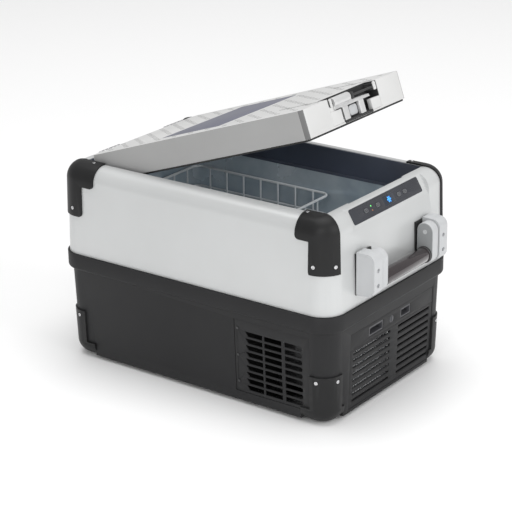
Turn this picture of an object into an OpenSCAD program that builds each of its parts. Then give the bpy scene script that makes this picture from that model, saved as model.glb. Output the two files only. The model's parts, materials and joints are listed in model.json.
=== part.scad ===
// Portable compressor cooler: a drafted lower housing carries a tapered painted case with a
// recessed lid that hinges at one end. X runs along the cooler from the lid hinge to the control
// panel, the long grille side faces -Y, and Z = 0 is the surface the feet stand on.

/* [Body] */
// Length of the case, without the handles
body_l = 611; // [560:1:740]
// Width of the case
body_w = 398; // [360:1:480]
// Height of the case rim above the ground
rim_z = 383; // [370:1:450]
// Height at which the painted case meets the lower housing
split_z = 211; // [205:1:216]
// Vertical corner radius of the case
corner_r = 43; // [43:1:52]
// How far the case leans in between the split and the rim
case_taper = 5; // [2:0.5:7]
// Radius of the rounded top edge of the case
crown_r = 30; // [25:1:31]
// Thickness of the painted case skin
case_wall = 2.5; // [2:0.1:3]
// Width of the rim from the case side to the lid recess
rim_w = 42; // [38:0.5:42]

/* [Lower housing] */
// Height of the overhanging belt under the case
belt_h = 32; // [26:1:36]
// How far the belt stands proud of the case
belt_out = 4; // [3:0.5:6]
// How far the housing sides step in under the belt
housing_step = 5; // [4:0.5:6]
// How far the housing sides lean in at the bottom
housing_draft = 11; // [9:0.5:12]
// Thickness of the housing walls
housing_wall = 3; // [2.5:0.1:3.5]
// Height of the housing floor above the ground
floor_z = 7; // [6:0.5:9]

/* [Lid recess] */
// Depth of the ledge below the rim
recess_d = 47; // [42:1:50]
// Width of the ledge the lid seal rests on
ledge_w = 9; // [8:0.5:11]
// Half width of the latch notch in the rim
notch_half = 88; // [84:1:92]
// How far the latch notch cuts into the rim
notch_in = 5.5; // [5:0.5:6]

/* [Food compartment] */
// Height of the floor of the deep compartment
deep_floor_z = 45; // [42:1:52]
// Height of the shelf over the compressor bay
shelf_z = 214; // [210:1:222]
// Length of the shelf over the compressor bay
shelf_l = 168; // [160:1:172]
// Thickness of the liner
liner_wall = 3; // [2.5:0.1:3]

/* [Lid] */
// Distance from the hinge pin to the front end of the lid
lid_l = 506; // [400:1:507]
// Thickness of the lid between its skins
lid_t = 51; // [48:1:52]
// Height of the lid top over the rim when it is shut
lid_proud = 8; // [7.5:0.5:9]
// Gap between the lid and the sides of the recess
lid_gap = 2.5; // [2:0.1:3]
// Angle at which the lid stands open
lid_open = 19.1; // [5:0.1:30]
// Radius of the lid hinge pins
lid_pin_r = 2; // [1.8:0.1:2.2]

/* [Handles] */
// Outer width over one pair of handle brackets
handle_w = 242; // [230:1:246]
// Thickness of a handle bracket
bracket_t = 26; // [22:1:27]
// How far a bracket reaches out from its base plate
bracket_d = 37; // [34:1:38]
// Height of a bracket
bracket_h = 78; // [74:1:80]
// Height of the lower end of the brackets
bracket_z = 234; // [230:1:238]
// Thickness of a swinging handle arm
arm_t = 20; // [17:1:21]
// Radius of the hand grip tube
grip_r = 14; // [12:0.5:14.5]
// Radius of the handle pivot pins
pivot_r = 4; // [3.5:0.1:4.5]

/* [Grilles] */
// Width of the side grille panel
grille_w = 162; // [160:1:170]
// Distance between ventilation slots
slot_pitch = 13.2; // [13:0.1:13.6]
// Height of one slot of the side grille
slot_h = 9; // [7.5:0.5:9]
// Number of slot rows in the side grille
slot_rows = 10; // [6:1:10]
// Number of blades in the end louvres
blade_rows = 8; // [5:1:8]

/* [Controls] */
// Width of the control panel
panel_w = 222; // [210:1:226]
// Height of the control panel along its slope
panel_h = 29; // [28:0.5:30]
// Slope of the control panel from the horizontal
panel_slope = 59; // [57:0.5:61]
// Travel of a push button
button_travel = 1; // [0.6:0.1:1.2]

/* [Corner armour] */
// Thickness of the corner caps and feet
cap_t = 3; // [2.5:0.1:3]
// Height of the lower edge of the top corner caps
cap_z = 286; // [280:1:290]
// Reach of the cap lobe along the long side from the end face
cap_reach = 74; // [70:1:76]
// Height of the upright part of a foot
foot_h = 94; // [88:1:100]
// Radius of the rounding under a foot
foot_r = 28; // [24:1:28]

/* [Hidden] */

$fn = 64;
e = 0.01;
clearance = 0.3;

// Case section, measured outwards from the corner centres
case_lean = atan(case_taper / (rim_z - split_z));
crown_z = rim_z - crown_r;
crown_u = corner_r - (crown_z - split_z) * tan(case_lean) - crown_r / cos(case_lean);
rim_u = corner_r - rim_w;
case_half_l = body_l / 2;
case_half_w = body_w / 2;
function case_in(z) = (min(z, crown_z) - split_z) * tan(case_lean);

// Housing section
belt_z = split_z - belt_h;
housing_lean = atan((housing_draft - housing_step) / (belt_z - floor_z));
function housing_in(z) = housing_draft - (z - floor_z) * tan(housing_lean);

// Recess and compartments
recess_half_l = case_half_l - rim_w;
recess_half_w = case_half_w - rim_w;
frame_wall = 2.5;
notch_d = recess_d - 6;
ledge_z = rim_z - recess_d;
liner_half_l = recess_half_l - ledge_w;
liner_half_w = recess_half_w - ledge_w;
liner_r = 14;
liner_top = ledge_z - frame_wall;
shelf_x = liner_half_l - shelf_l;

// Wire basket
basket_x0 = -liner_half_l + 14;
basket_x1 = shelf_x - 10;
basket_half_w = liner_half_w - 10;
basket_z0 = deep_floor_z + 3;
basket_z1 = 298;
basket_r = 16;
wire_r = 1.8;
rim_wire_r = 2.6;
wire_pitch = 41;

// Lid, laid out as it lies when shut
lid_top = rim_z + lid_proud;
lid_base = lid_top - lid_t;
pin_x = -recess_half_l + 1.5;
pin_z = rim_z + 5;
lid_x0 = pin_x + 5;
lid_x1 = pin_x + lid_l;
lid_half_w = recess_half_w - lid_gap;
lid_skin = 2.5;
leaf_t = 1.6;
leaf_l = 56;
rim_land = 8;
knuckle_r = 4;
hinge_y = 96;
seal_h = lid_base - ledge_z - clearance;
seal_inset = lid_skin + clearance;

// Dark inlay plate in the lid top
inlay_x0 = lid_x1 - 348;
inlay_x1 = lid_x1 - 213;
inlay_half = 120;

// Latch
latch_half = 76;
barrel_r = 9;
barrel_x = lid_x1 - 3;
barrel_z = lid_top - barrel_r - 0.5;
latch_pin_r = 2;
latch_pocket_d = 26;
lug_t = 6;
finger_w = 8;

// Control slope: the panel's own plane, with its origin at the upper edge of the slope
slope_x = case_half_l - 26;
slope_half = 124;
slope_depth = 43;
panel_t = 2;
panel_from_top = 4;
console_t = 5;
button_w = 11;
button_h = 7;
button_gap = 0.35;
power_y = -65;
set_y = -28;
up_y = 41;
down_y = 60;
led_y = -47;
display_y = 9;
display_w = 36;

// Handles
base_reach = 1;
bracket_x = case_half_l + base_reach;
arm_r = (bracket_d - 3) / 2;
pivot_x = bracket_x + arm_r + 1.5;
pivot_z = bracket_z + bracket_h - arm_r - 1.5;
grip_z = bracket_z + arm_r;
arm_gap = 1;
arm_out = handle_w / 2 - bracket_t - arm_gap;
arm_in = arm_out - arm_t;
pin_fit = 0.05;

// Grilles and sockets
grille_x = case_half_l - 47.5 - grille_w;
grille_z0 = 24;
grille_z1 = belt_z - 14;
grille_t = 2.5;
slot_top = 145;
slot_x = [grille_x + 24, grille_x + 65, grille_x + 109];
slot_w = 37;
louvre_x = case_half_l;
louvre_y = [[-115, 6], [32, 139]];
louvre_edge = 11;
louvre_y0 = louvre_y[0][0] - louvre_edge;
louvre_y1 = louvre_y[1][1] + louvre_edge;
louvre_z0 = 6;
louvre_top = 122;
louvre_pitch = 13.2;
socket_y0 = -80;
socket_y1 = 80;
socket_z0 = 131;
socket_z1 = 154;

// Corner armour
screw_r = 1.6;
screw_head_r = 4.6;
cap_screw_z = cap_z + 15;
cap_start = 13.1;
cap_rear_extra = 12;
cap_strip = 2.5;
lobe_z = rim_z - 38;
cap_screw_angles = [27, 80];
foot_screw_angles = [14, 76];
foot_screw_z = foot_h - 10;
armour_reach = 5;
foot_side = 25;
foot_end = 14;
foot_relief = 0.6;

// Machine bay
fan_x = 242;
fan_y = -52;
fan_z = 78;
fan_r = 56;
fan_t = 24;
fan_shaft_r = 2.5;
compressor_x = 169;
compressor_y = -56;
compressor_r = 55;
base_plate_x0 = shelf_x + 26;

// ---- shared shapes ----

// A flat rounded rectangle
module round_rect(l, w, r) {
    square([l - 2 * r, w], center = true);
    square([l, w - 2 * r], center = true);
    for (x = [-1, 1])
        for (y = [-1, 1])
            translate([x * (l / 2 - r), y * (w / 2 - r)]) circle(r);
}

// A block with rounded upright edges between two heights
module round_block(x0, x1, half_w, r, z0, z1) {
    translate([(x0 + x1) / 2, 0, z0])
        linear_extrude(z1 - z0)
            round_rect(x1 - x0, 2 * half_w, r);
}

// Sweeps a section round the case: x of the section points outwards from the corner centres
module ring() {
    for (side = [0, 1])
        mirror([side, 0, 0])
            translate([case_half_l - corner_r, 0, 0])
                rotate([90, 0, 0])
                    linear_extrude(body_w - 2 * corner_r, center = true)
                        children();
    for (side = [0, 1])
        mirror([0, side, 0])
            translate([0, case_half_w - corner_r, 0])
                rotate([90, 0, 90])
                    linear_extrude(body_l - 2 * corner_r, center = true)
                        children();
    for (sx = [-1, 1])
        for (sy = [-1, 1])
            at_corner(sx, sy)
                rotate_extrude(angle = 90)
                    children();
}

// Puts what is drawn for the +X +Y corner at any corner
module at_corner(sx, sy) {
    mirror([sx < 0 ? 1 : 0, 0, 0])
        mirror([0, sy < 0 ? 1 : 0, 0])
            translate([case_half_l - corner_r, case_half_w - corner_r, 0])
                children();
}

// Sweeps a section round one corner, running on along the long side and the end
module corner_sweep(along_side, along_end) {
    rotate_extrude(angle = 90)
        children();
    translate([-along_side / 2, 0, 0])
        rotate([90, 0, 90])
            linear_extrude(along_side, center = true)
                children();
    translate([0, -along_end / 2, 0])
        rotate([90, 0, 0])
            linear_extrude(along_end, center = true)
                children();
}

// Outline of the case section, shrunk or grown by grow, filled in to the corner centres
module case_outline(grow) {
    r = crown_r + grow;
    foot_u = corner_r + grow / cos(case_lean);
    polygon([[0, split_z], [foot_u, split_z],
        [crown_u + r * cos(case_lean), crown_z + r * sin(case_lean)],
        [crown_u, crown_z], [crown_u, crown_z + r], [0, crown_z + r]]);
    translate([crown_u, crown_z])
        intersection() {
            circle(r, $fn = 128);
            square(r);
        }
}

// Outline of the housing section below the belt, grown by grow
module housing_outline(grow, z0, z1) {
    polygon([[0, z0], [corner_r - housing_in(z0) + grow, z0],
        [corner_r - housing_in(z1) + grow, z1], [0, z1]]);
}

// Outline of the housing section where its lower edge is rounded over a foot, grown by grow
module rounded_outline(grow, z1) {
    r = foot_r - cap_t;
    u = corner_r - housing_in(floor_z + r) - r;
    housing_outline(grow, floor_z + r, z1);
    translate([0, floor_z - grow])
        square([u, r + grow + e]);
    translate([u, floor_z + r])
        intersection() {
            circle(r + grow);
            translate([0, -r - grow])
                square(r + grow + e);
        }
}

// Places on the corner armour, with local +X pointing out of the surface at a height
module armour_points(z, inset, lean, angles) {
    for (sx = [-1, 1])
        for (sy = [-1, 1])
            for (a = angles)
                at_corner(sx, sy)
                    rotate([0, 0, a])
                        translate([corner_r - inset, 0, z])
                            rotate([0, lean, 0])
                                children();
}

module cap_points() {
    armour_points(cap_screw_z, case_in(cap_screw_z), -case_lean, cap_screw_angles)
        children();
}

module foot_points() {
    armour_points(foot_screw_z, housing_in(foot_screw_z), housing_lean, foot_screw_angles)
        children();
}

// Places on top of the corner caps, with local +X pointing up
module cap_top_points() {
    for (sx = [-1, 1])
        for (sy = [-1, 1])
            at_corner(sx, sy)
                translate([-(cap_reach - corner_r) + 7, crown_u + 3, rim_z])
                    rotate([0, -90, 0])
                        children();
}

// A pan-head screw along local +X with its head seated in the armour
module screw(length) {
    rotate([0, 90, 0]) {
        translate([0, 0, cap_t - 1.2])
            difference() {
                cylinder(r = screw_head_r - 1.2, h = 1.6);
                translate([0, 0, 0.7])
                    cylinder(r = 1.4, h = 1, $fn = 6);
            }
        translate([0, 0, cap_t - 1.2 - length])
            cylinder(r = screw_r - 0.05, h = length + e);
    }
}

// The hole that the screw passes, with its head's seat
module screw_hole() {
    rotate([0, 90, 0]) {
        translate([0, 0, cap_t - 1.2])
            cylinder(r = screw_head_r, h = 6);
        translate([0, 0, -8])
            cylinder(r = screw_r, h = 14);
    }
}

// Turns lid parts, drawn shut, to the angle at which the lid stands open
module on_lid() {
    translate([pin_x, 0, pin_z])
        rotate([0, -lid_open, 0])
            translate([-pin_x, 0, -pin_z])
                children();
}

// Axes of the control slope: local X down the slope, Y across it, Z out of it
module on_slope() {
    translate([slope_x, 0, rim_z])
        rotate([0, panel_slope, 0])
            children();
}

// Axes of the housing side wall at the grille: local Z out of the wall, Y up it
module on_side_wall() {
    translate([0, -(case_half_w - housing_in(floor_z)), floor_z])
        rotate([90 + housing_lean, 0, 0])
            children();
}

// Axes of the housing end wall: local X across it (the cooler's Y), Y up it, Z out of it
module on_end_wall() {
    translate([case_half_l - housing_in(floor_z), 0, floor_z])
        rotate([0, housing_lean, 0])
            rotate([90, 0, 90])
                children();
}

// ---- lower housing ----

module housing_section() {
    belt_u = corner_r + belt_out;
    difference() {
        union() {
            housing_outline(0, floor_z, belt_z);
            difference() {
                translate([0, belt_z])
                    square([belt_u, belt_h - 0.6]);
                translate([belt_u - 6, belt_z])
                    square([7, 6]);
            }
            translate([belt_u - 6, belt_z + 6])
                circle(6);
        }
        translate([-e, floor_z - 1])
            square([corner_r - housing_draft - housing_wall + e, split_z]);
        polygon([[0, floor_z + housing_wall],
            [corner_r - housing_draft - housing_wall, floor_z + housing_wall],
            [corner_r - housing_step - housing_wall, belt_z],
            [corner_r - housing_step - housing_wall, split_z], [0, split_z]]);
    }
}

// Shell that follows the rounded lower edge at the corners
module corner_shell() {
    for (sx = [-1, 1])
        for (sy = [-1, 1])
            at_corner(sx, sy)
                corner_sweep(foot_side, foot_end)
                    difference() {
                        rounded_outline(-foot_relief, floor_z + foot_r);
                        rounded_outline(-housing_wall, floor_z + foot_r + 1);
                    }
}

// What the rounded lower edge takes away at the corners
module corner_cut() {
    for (sx = [-1, 1])
        for (sy = [-1, 1])
            at_corner(sx, sy)
                corner_sweep(foot_side, foot_end)
                    difference() {
                        translate([0, floor_z - 2])
                            square([corner_r, foot_r - cap_t + 2]);
                        rounded_outline(-foot_relief, floor_z + foot_r);
                    }
}

module lower_housing() {
    color([0.16, 0.16, 0.165])
        difference() {
            union() {
                difference() {
                    ring()
                        housing_section();
                    corner_cut();
                }
                corner_shell();
                housing_floor();
            }
            on_side_wall()
                translate([grille_x, grille_z0 - floor_z, -8])
                    cube([grille_w, grille_z1 - grille_z0, 16]);
            on_end_wall()
                louvre_field(0, socket_z1 + 4 - floor_z, -8, 8);
            foot_points()
                screw_hole();
            floor_vents();
        }
}

// Floor plate, kept clear of the rounded corners
module housing_floor() {
    difference() {
        round_block(-case_half_l + housing_draft + 1, case_half_l - housing_draft - 1,
            case_half_w - housing_draft - 1, corner_r - housing_draft - 1,
            floor_z, floor_z + housing_wall);
        corner_cut();
    }
}

// Drain and air holes in the floor under the machine bay
module floor_vents() {
    for (x = [140 : 24 : 236])
        translate([x, 110, floor_z - 1])
            cylinder(r = 5, h = housing_wall + 2);
}

module base_plate() {
    color("dimgray")
        difference() {
            round_block(base_plate_x0, case_half_l - 42, case_half_w - 40, 8, floor_z + housing_wall,
                floor_z + housing_wall + 1.5);
            for (x = [140 : 24 : 236])
                translate([x, 110, floor_z])
                    cylinder(r = 5, h = 8);
        }
}

// ---- painted case and recess ----

module outer_case() {
    color([0.78, 0.79, 0.8])
        difference() {
            union() {
                ring()
                    difference() {
                        case_outline(0);
                        case_outline(-case_wall);
                        translate([-1, split_z - 1])
                            square([rim_u + 1 + frame_wall, rim_z]);
                    }
                console();
            }
            on_slope()
                translate([-8, -slope_half, 0])
                    cube([slope_depth + 16, 2 * slope_half, 20]);
            panel_seat();
            notch_cut();
            cap_points()
                screw_hole();
            cap_top_points()
                screw_hole();
        }
}

// Thickened wall behind the control slope
module console() {
    intersection() {
        translate([case_half_l - corner_r, 0, 0])
            rotate([90, 0, 0])
                linear_extrude(2 * slope_half + 8, center = true)
                    case_outline(-0.2);
        on_slope()
            translate([-1, -slope_half - 6, -console_t])
                cube([slope_depth + 6, 2 * slope_half + 12, 30]);
        translate([recess_half_l + notch_in + frame_wall, -200, 0])
            cube([60, 400, rim_z]);
    }
}

module panel_seat() {
    on_slope()
        translate([panel_from_top, 0, -panel_t])
            linear_extrude(panel_t + 1)
                translate([panel_h / 2, 0])
                    round_rect(panel_h, panel_w, 4);
    for (y = [power_y, set_y, up_y, down_y])
        on_slope()
            translate([panel_from_top + panel_h / 2, y, -console_t - 4])
                linear_extrude(console_t + 6)
                    round_rect(button_h + 2, button_w + 2, (button_h + 2) / 2 - 0.1);
    on_slope()
        translate([panel_from_top + panel_h / 2, display_y, -console_t - 4])
            linear_extrude(console_t + 6)
                square([14, display_w - 6], center = true);
    on_slope()
        for (x = [-4, 4])
            translate([panel_from_top + panel_h / 2 + x, led_y, -console_t - 4])
                cylinder(r = 2, h = console_t + 6);
}

module notch_cut() {
    translate([recess_half_l - 6, -notch_half, rim_z - notch_d])
        cube([6 + notch_in, 2 * notch_half, 60]);
}

module recess_frame() {
    wall_x = recess_half_l + notch_in;
    color([0.11, 0.12, 0.14])
        difference() {
            union() {
                difference() {
                    round_block(-recess_half_l - frame_wall, recess_half_l + frame_wall,
                        recess_half_w + frame_wall, rim_u + frame_wall, liner_top, rim_z - 1);
                    round_block(-recess_half_l, recess_half_l, recess_half_w, rim_u,
                        ledge_z, rim_z);
                    round_block(-liner_half_l, liner_half_l, liner_half_w, liner_r,
                        liner_top - 1, ledge_z + 1);
                }
                translate([recess_half_l, -notch_half - frame_wall, rim_z - notch_d - frame_wall])
                    cube([notch_in + frame_wall, 2 * (notch_half + frame_wall),
                        notch_d + frame_wall - case_wall - 0.2]);
            }
            notch_cut();
        }
}

module liner_space(grow, z_grow) {
    round_block(-liner_half_l - grow, shelf_x + grow, liner_half_w + grow, liner_r + grow,
        deep_floor_z - z_grow, liner_top);
    round_block(shelf_x - 40, liner_half_l + grow, liner_half_w + grow, liner_r + grow,
        shelf_z - z_grow, liner_top);
}

module food_liner() {
    color([0.3, 0.34, 0.38])
        difference() {
            liner_space(liner_wall, liner_wall);
            translate([0, 0, e])
                liner_space(0, 0);
        }
}

module insulation() {
    side = 18;
    floor_top = floor_z + housing_wall;
    color("khaki")
        difference() {
            union() {
                round_block(-case_half_l + side, shelf_x + 24, case_half_w - side, 30,
                    floor_top + foot_r, shelf_z - 14);
                round_block(-case_half_l + side + 14, shelf_x + 24, case_half_w - side - 14, 20,
                    floor_top + 1, floor_top + foot_r + 1);
                round_block(-case_half_l + side, case_half_l - side, case_half_w - side, 30,
                    shelf_z - 18, liner_top - 14);
            }
            liner_space(liner_wall + 1.2, liner_wall);
            translate([shelf_x + 24, -200, 0])
                cube([300, 400, shelf_z - 14.01]);
        }
}

// Roll-bonded cold plate wrapped round the deep compartment
module evaporator() {
    color("silver")
        difference() {
            round_block(-liner_half_l - liner_wall - 1, shelf_x + liner_wall + 1,
                liner_half_w + liner_wall + 1, liner_r + liner_wall + 1,
                deep_floor_z + 30, shelf_z - 16);
            round_block(-liner_half_l - liner_wall, shelf_x + liner_wall,
                liner_half_w + liner_wall, liner_r + liner_wall,
                deep_floor_z, shelf_z);
        }
}

module interior_light() {
    color("white")
        translate([liner_half_l - 2.5, -22, liner_top - 26])
            cube([2.5, 44, 14]);
}

// ---- wire basket ----

// One closed wire loop of the basket
module wire_loop(z, r) {
    cx = (basket_x1 - basket_x0) / 2 - basket_r;
    cy = basket_half_w - basket_r;
    translate([(basket_x0 + basket_x1) / 2, 0, z]) {
        for (s = [-1, 1]) {
            translate([-cx, s * (cy + basket_r), 0])
                rotate([0, 90, 0])
                    cylinder(r = r, h = 2 * cx, $fn = 8);
            translate([s * (cx + basket_r), cy, 0])
                rotate([90, 0, 0])
                    cylinder(r = r, h = 2 * cy, $fn = 8);
        }
        for (k = [0 : 3])
            rotate([0, 0, 90 * k])
                translate([k % 2 == 0 ? cx : cy, k % 2 == 0 ? cy : cx, 0])
                    rotate_extrude(angle = 90, $fn = 32)
                        translate([basket_r, 0])
                            circle(r, $fn = 8);
    }
}

module wire_basket() {
    nx = floor((basket_x1 - basket_x0 - 2 * basket_r) / wire_pitch);
    ny = floor((2 * basket_half_w - 2 * basket_r) / wire_pitch);
    mid_x = (basket_x0 + basket_x1) / 2;
    inner = basket_half_w - wire_r - rim_wire_r + 1;
    inner_x = (basket_x1 - basket_x0) / 2 - wire_r - rim_wire_r + 1;
    color("white") {
        wire_loop(basket_z1, rim_wire_r);
        for (z = [basket_z0 + 30 : 60 : basket_z1 - 30])
            wire_loop(z, wire_r + 0.2);
        wire_loop(basket_z0 + wire_r, wire_r + 0.2);
        for (i = [-nx / 2 : nx / 2]) {
            x = mid_x + i * wire_pitch;
            for (s = [-1, 1])
                translate([x, s * inner, basket_z0 + 2 * wire_r])
                    cylinder(r = wire_r, h = basket_z1 - basket_z0 - 2 * wire_r, $fn = 8);
            translate([x, -inner - 1, basket_z0 + 3.2 + wire_r])
                rotate([-90, 0, 0])
                    cylinder(r = wire_r, h = 2 * inner + 2, $fn = 8);
        }
        for (j = [-ny / 2 : ny / 2]) {
            y = j * wire_pitch;
            for (s = [-1, 1])
                translate([mid_x + s * inner_x, y, basket_z0 + wire_r])
                    cylinder(r = wire_r, h = basket_z1 - basket_z0 - wire_r, $fn = 8);
        }
    }
}

// ---- lid ----

module lid_block(inset, z0, z1, r) {
    round_block(lid_x0 + inset, lid_x1 - inset, lid_half_w - inset, r, z0, z1);
}

module lid_shell() {
    color([0.8, 0.81, 0.82])
        on_lid()
            difference() {
                lid_block(0, lid_base, lid_top, 10);
                lid_block(lid_skin, lid_base - 1, lid_top - lid_skin, 10 - lid_skin);
                latch_pocket(0);
                inlay_seat();
                hinge_reliefs();
            }
}

// The recess in the lid that holds the dark inlay plate
module inlay_seat() {
    translate([inlay_x0, -inlay_half, lid_top - 0.8])
        cube([inlay_x1 - inlay_x0, 2 * inlay_half, 2]);
}
module lid_inlay() {
    color([0.3, 0.31, 0.36])
        on_lid()
            translate([inlay_x0 + 0.3, -inlay_half + 0.3, lid_top - 0.8])
                cube([inlay_x1 - inlay_x0 - 0.6, 2 * inlay_half - 0.6, 1.1]);
}

// Space for the latch in the end of the lid
module latch_pocket(grow) {
    translate([lid_x1 - latch_pocket_d + grow, -latch_half + grow, lid_base + 3 + grow])
        cube([latch_pocket_d + 10, 2 * (latch_half - grow), lid_t - 3 - 2 * grow + 10]);
}

// Room round the hinge knuckles
module hinge_reliefs() {
    for (s = [-1, 1])
        translate([lid_x0 - 1, s * hinge_y - leaf_l / 2 - 1, lid_base + 4])
            cube([1 + leaf_t, leaf_l + 2, lid_t]);
}

module lid_liner() {
    color([0.85, 0.86, 0.87])
        on_lid()
            difference() {
                union() {
                    lid_block(lid_skin + clearance, lid_base + 0.5, lid_base + 3, 7);
                    lid_block(ledge_w + 6, ledge_z + 2, lid_base + 0.5, 12);
                }
                lid_block(ledge_w + 9, ledge_z + 4.5, lid_base + 4, 10);
            }
}

module lid_foam() {
    color("khaki")
        on_lid()
            difference() {
                union() {
                    lid_block(lid_skin + 1, lid_base + 3, lid_top - lid_skin - 0.5, 7);
                    lid_block(ledge_w + 9, ledge_z + 4.5, lid_base + 3, 10);
                }
                latch_pocket(-2.6);
            }
}

module lid_seal() {
    color([0.08, 0.08, 0.09])
        on_lid()
            difference() {
                lid_block(seal_inset, lid_base - seal_h, lid_base + 0.5, 8);
                lid_block(ledge_w + 5, lid_base - seal_h - 1, lid_base + 1, 12);
            }
}

module knuckles(count, first) {
    step = leaf_l / count;
    for (i = [first : 2 : count - 1])
        translate([pin_x, -leaf_l / 2 + i * step + (i > 0 ? 0.2 : 0), pin_z])
            rotate([-90, 0, 0])
                cylinder(r = knuckle_r, h = step - 0.2 - (i > 0 ? 0.2 : 0));
}

module hinge_bore() {
    translate([pin_x, -leaf_l, pin_z])
        rotate([-90, 0, 0])
            cylinder(r = lid_pin_r + pin_fit, h = 2 * leaf_l);
}

module lid_hinge_leaves() {
    color("silver")
        on_lid()
            for (s = [-1, 1])
                translate([0, s * hinge_y, 0])
                    difference() {
                        union() {
                            knuckles(5, 1);
                            translate([lid_x0 + clearance, -leaf_l / 2, lid_base + 8])
                                cube([leaf_t - clearance, leaf_l, pin_z - lid_base - 8]);
                            for (i = [1, 3])
                                translate([pin_x, -leaf_l / 2 + i * leaf_l / 5 + 0.2,
                                    pin_z - knuckle_r])
                                    cube([lid_x0 + leaf_t - pin_x, leaf_l / 5 - 0.4, leaf_t]);
                        }
                        hinge_bore();
                    }
}

module case_hinge_leaves() {
    color("silver")
        for (s = [-1, 1])
            translate([0, s * hinge_y, 0])
                difference() {
                    union() {
                        knuckles(5, 0);
                        for (i = [0, 2, 4])
                            translate([-recess_half_l - rim_land, -leaf_l / 2 + i * leaf_l / 5 + 0.2,
                                rim_z])
                                cube([rim_land + pin_x + recess_half_l, leaf_l / 5 - 0.4, leaf_t]);
                        translate([-recess_half_l - rim_land, -leaf_l / 2 + 0.2, rim_z])
                            cube([rim_land - 3, leaf_l - 0.4, leaf_t]);
                    }
                    hinge_bore();
                }
}
module hinge_pins() {
    color("gray")
        for (s = [-1, 1])
            translate([pin_x, s * hinge_y - leaf_l / 2 - 1.5, pin_z])
                rotate([-90, 0, 0])
                    cylinder(r = lid_pin_r, h = leaf_l + 3);
}

// ---- latch ----

module latch_housing() {
    wall = 2;
    color([0.13, 0.13, 0.14])
        on_lid()
            difference() {
                translate([lid_x1 - latch_pocket_d + 0.1, -latch_half + 0.1, lid_base + 3.1])
                    cube([latch_pocket_d - 0.6, 2 * latch_half - 0.2, lid_t - 3.6]);
                translate([lid_x1 - latch_pocket_d + wall, -latch_half + wall, lid_base + 3 + wall])
                    cube([latch_pocket_d, 2 * (latch_half - wall), lid_t]);
            }
    color([0.5, 0.51, 0.52])
        on_lid() {
            for (y = [-latch_half + 2, -4, latch_half - 2 - lug_t])
                translate([lid_x1 - latch_pocket_d + wall - e, y, barrel_z - 6])
                    difference() {
                        cube([latch_pocket_d - wall, lug_t, 12]);
                        translate([barrel_x - lid_x1 + latch_pocket_d - wall, -1, 6])
                            rotate([-90, 0, 0])
                                cylinder(r = latch_pin_r, h = 8);
                    }
        }
}

module latch_pin() {
    color("gray")
        on_lid()
            translate([barrel_x, -latch_half + 3, barrel_z])
                rotate([-90, 0, 0])
                    cylinder(r = latch_pin_r, h = 2 * latch_half - 6);
}

// Grip barrel with its flap and the two hooks that reach down to the strike
module latch_handle() {
    color([0.72, 0.73, 0.74])
        on_lid()
            difference() {
                union() {
                    translate([barrel_x, -latch_half + 9, barrel_z])
                        rotate([-90, 0, 0])
                            cylinder(r = barrel_r, h = latch_half - 14);
                    translate([barrel_x, 3, barrel_z])
                        rotate([-90, 0, 0])
                            cylinder(r = 5, h = latch_half - 12);
                    translate([barrel_x - 4, -latch_half + 10, barrel_z - 17])
                        cube([6, 2 * latch_half - 20, 9]);
                    for (y = [-latch_half + 10, 3])
                        translate([barrel_x - 4, y, barrel_z - 10])
                            cube([6, latch_half - (y < 0 ? 15 : 13), 8]);
                    for (y = [-35, 17])
                        translate([0, y - finger_w / 2, 0]) {
                            translate([barrel_x - 3, 0, lid_base + 6])
                                cube([6, finger_w, barrel_z - lid_base - 18]);
                            translate([barrel_x - 3, 0, lid_base + 6])
                                cube([10, finger_w, 3]);
                        }
                }
                translate([barrel_x, -latch_half, barrel_z])
                    rotate([-90, 0, 0])
                        cylinder(r = latch_pin_r + pin_fit, h = 2 * latch_half);
            }
}

module strike_plate() {
    x1 = recess_half_l + notch_in;
    color([0.55, 0.56, 0.57])
        difference() {
            union() {
                translate([x1 - 2, -44, rim_z - notch_d])
                    cube([2, 76, 22]);
                translate([barrel_x + 5, -44, lid_base + 9.8])
                    cube([x1 - barrel_x - 5, 76, 2.5]);
            }
            translate([x1 - 12, -15, lid_base + 9])
                cube([30, 12, 5]);
        }
}

// ---- controls ----

module panel_outline(shrink) {
    translate([panel_from_top + panel_h / 2, 0])
        round_rect(panel_h - 2 * shrink, panel_w - 2 * shrink, 4 - shrink);
}

module control_panel() {
    color([0.12, 0.13, 0.16])
        on_slope()
            difference() {
                translate([0, 0, -panel_t])
                    linear_extrude(panel_t + 0.3)
                        panel_outline(0.15);
                translate([panel_from_top + panel_h / 2, 0, -panel_t - 1]) {
                    for (y = [power_y, set_y, up_y, down_y])
                        translate([0, y, 0])
                            linear_extrude(panel_t + 3)
                                button_outline(button_gap);
                    for (x = [-4, 4])
                        translate([x, led_y, 0])
                            cylinder(r = 1.5, h = panel_t + 3);
                    translate([0, display_y, 0])
                        linear_extrude(panel_t + 3)
                            square([18, display_w], center = true);
                }
            }
}

module button_outline(grow) {
    round_rect(button_h + 2 * grow, button_w + 2 * grow, button_h / 2 - 0.2 + grow);
}

module push_button(y) {
    on_slope()
        translate([panel_from_top + panel_h / 2, y, -panel_t - 1])
            linear_extrude(panel_t + 2)
                button_outline(0);
}

module button_power() {
    color([0.35, 0.37, 0.4]) push_button(power_y);
}

module button_set() {
    color([0.35, 0.37, 0.4]) push_button(set_y);
}

module button_up() {
    color([0.35, 0.37, 0.4]) push_button(up_y);
}

module button_down() {
    color([0.35, 0.37, 0.4]) push_button(down_y);
}

module display_window() {
    color([0.1, 0.25, 0.5])
        on_slope()
            translate([panel_from_top + panel_h / 2, display_y, -panel_t])
                linear_extrude(panel_t + 0.25)
                    square([17.8, display_w - 0.2], center = true);
}

module status_leds() {
    color("lightgreen")
        on_slope()
            for (x = [-4, 4])
                translate([panel_from_top + panel_h / 2 + x, led_y, -console_t - 1])
                    cylinder(r = 1.45, h = console_t + 1.4);
}

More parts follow.
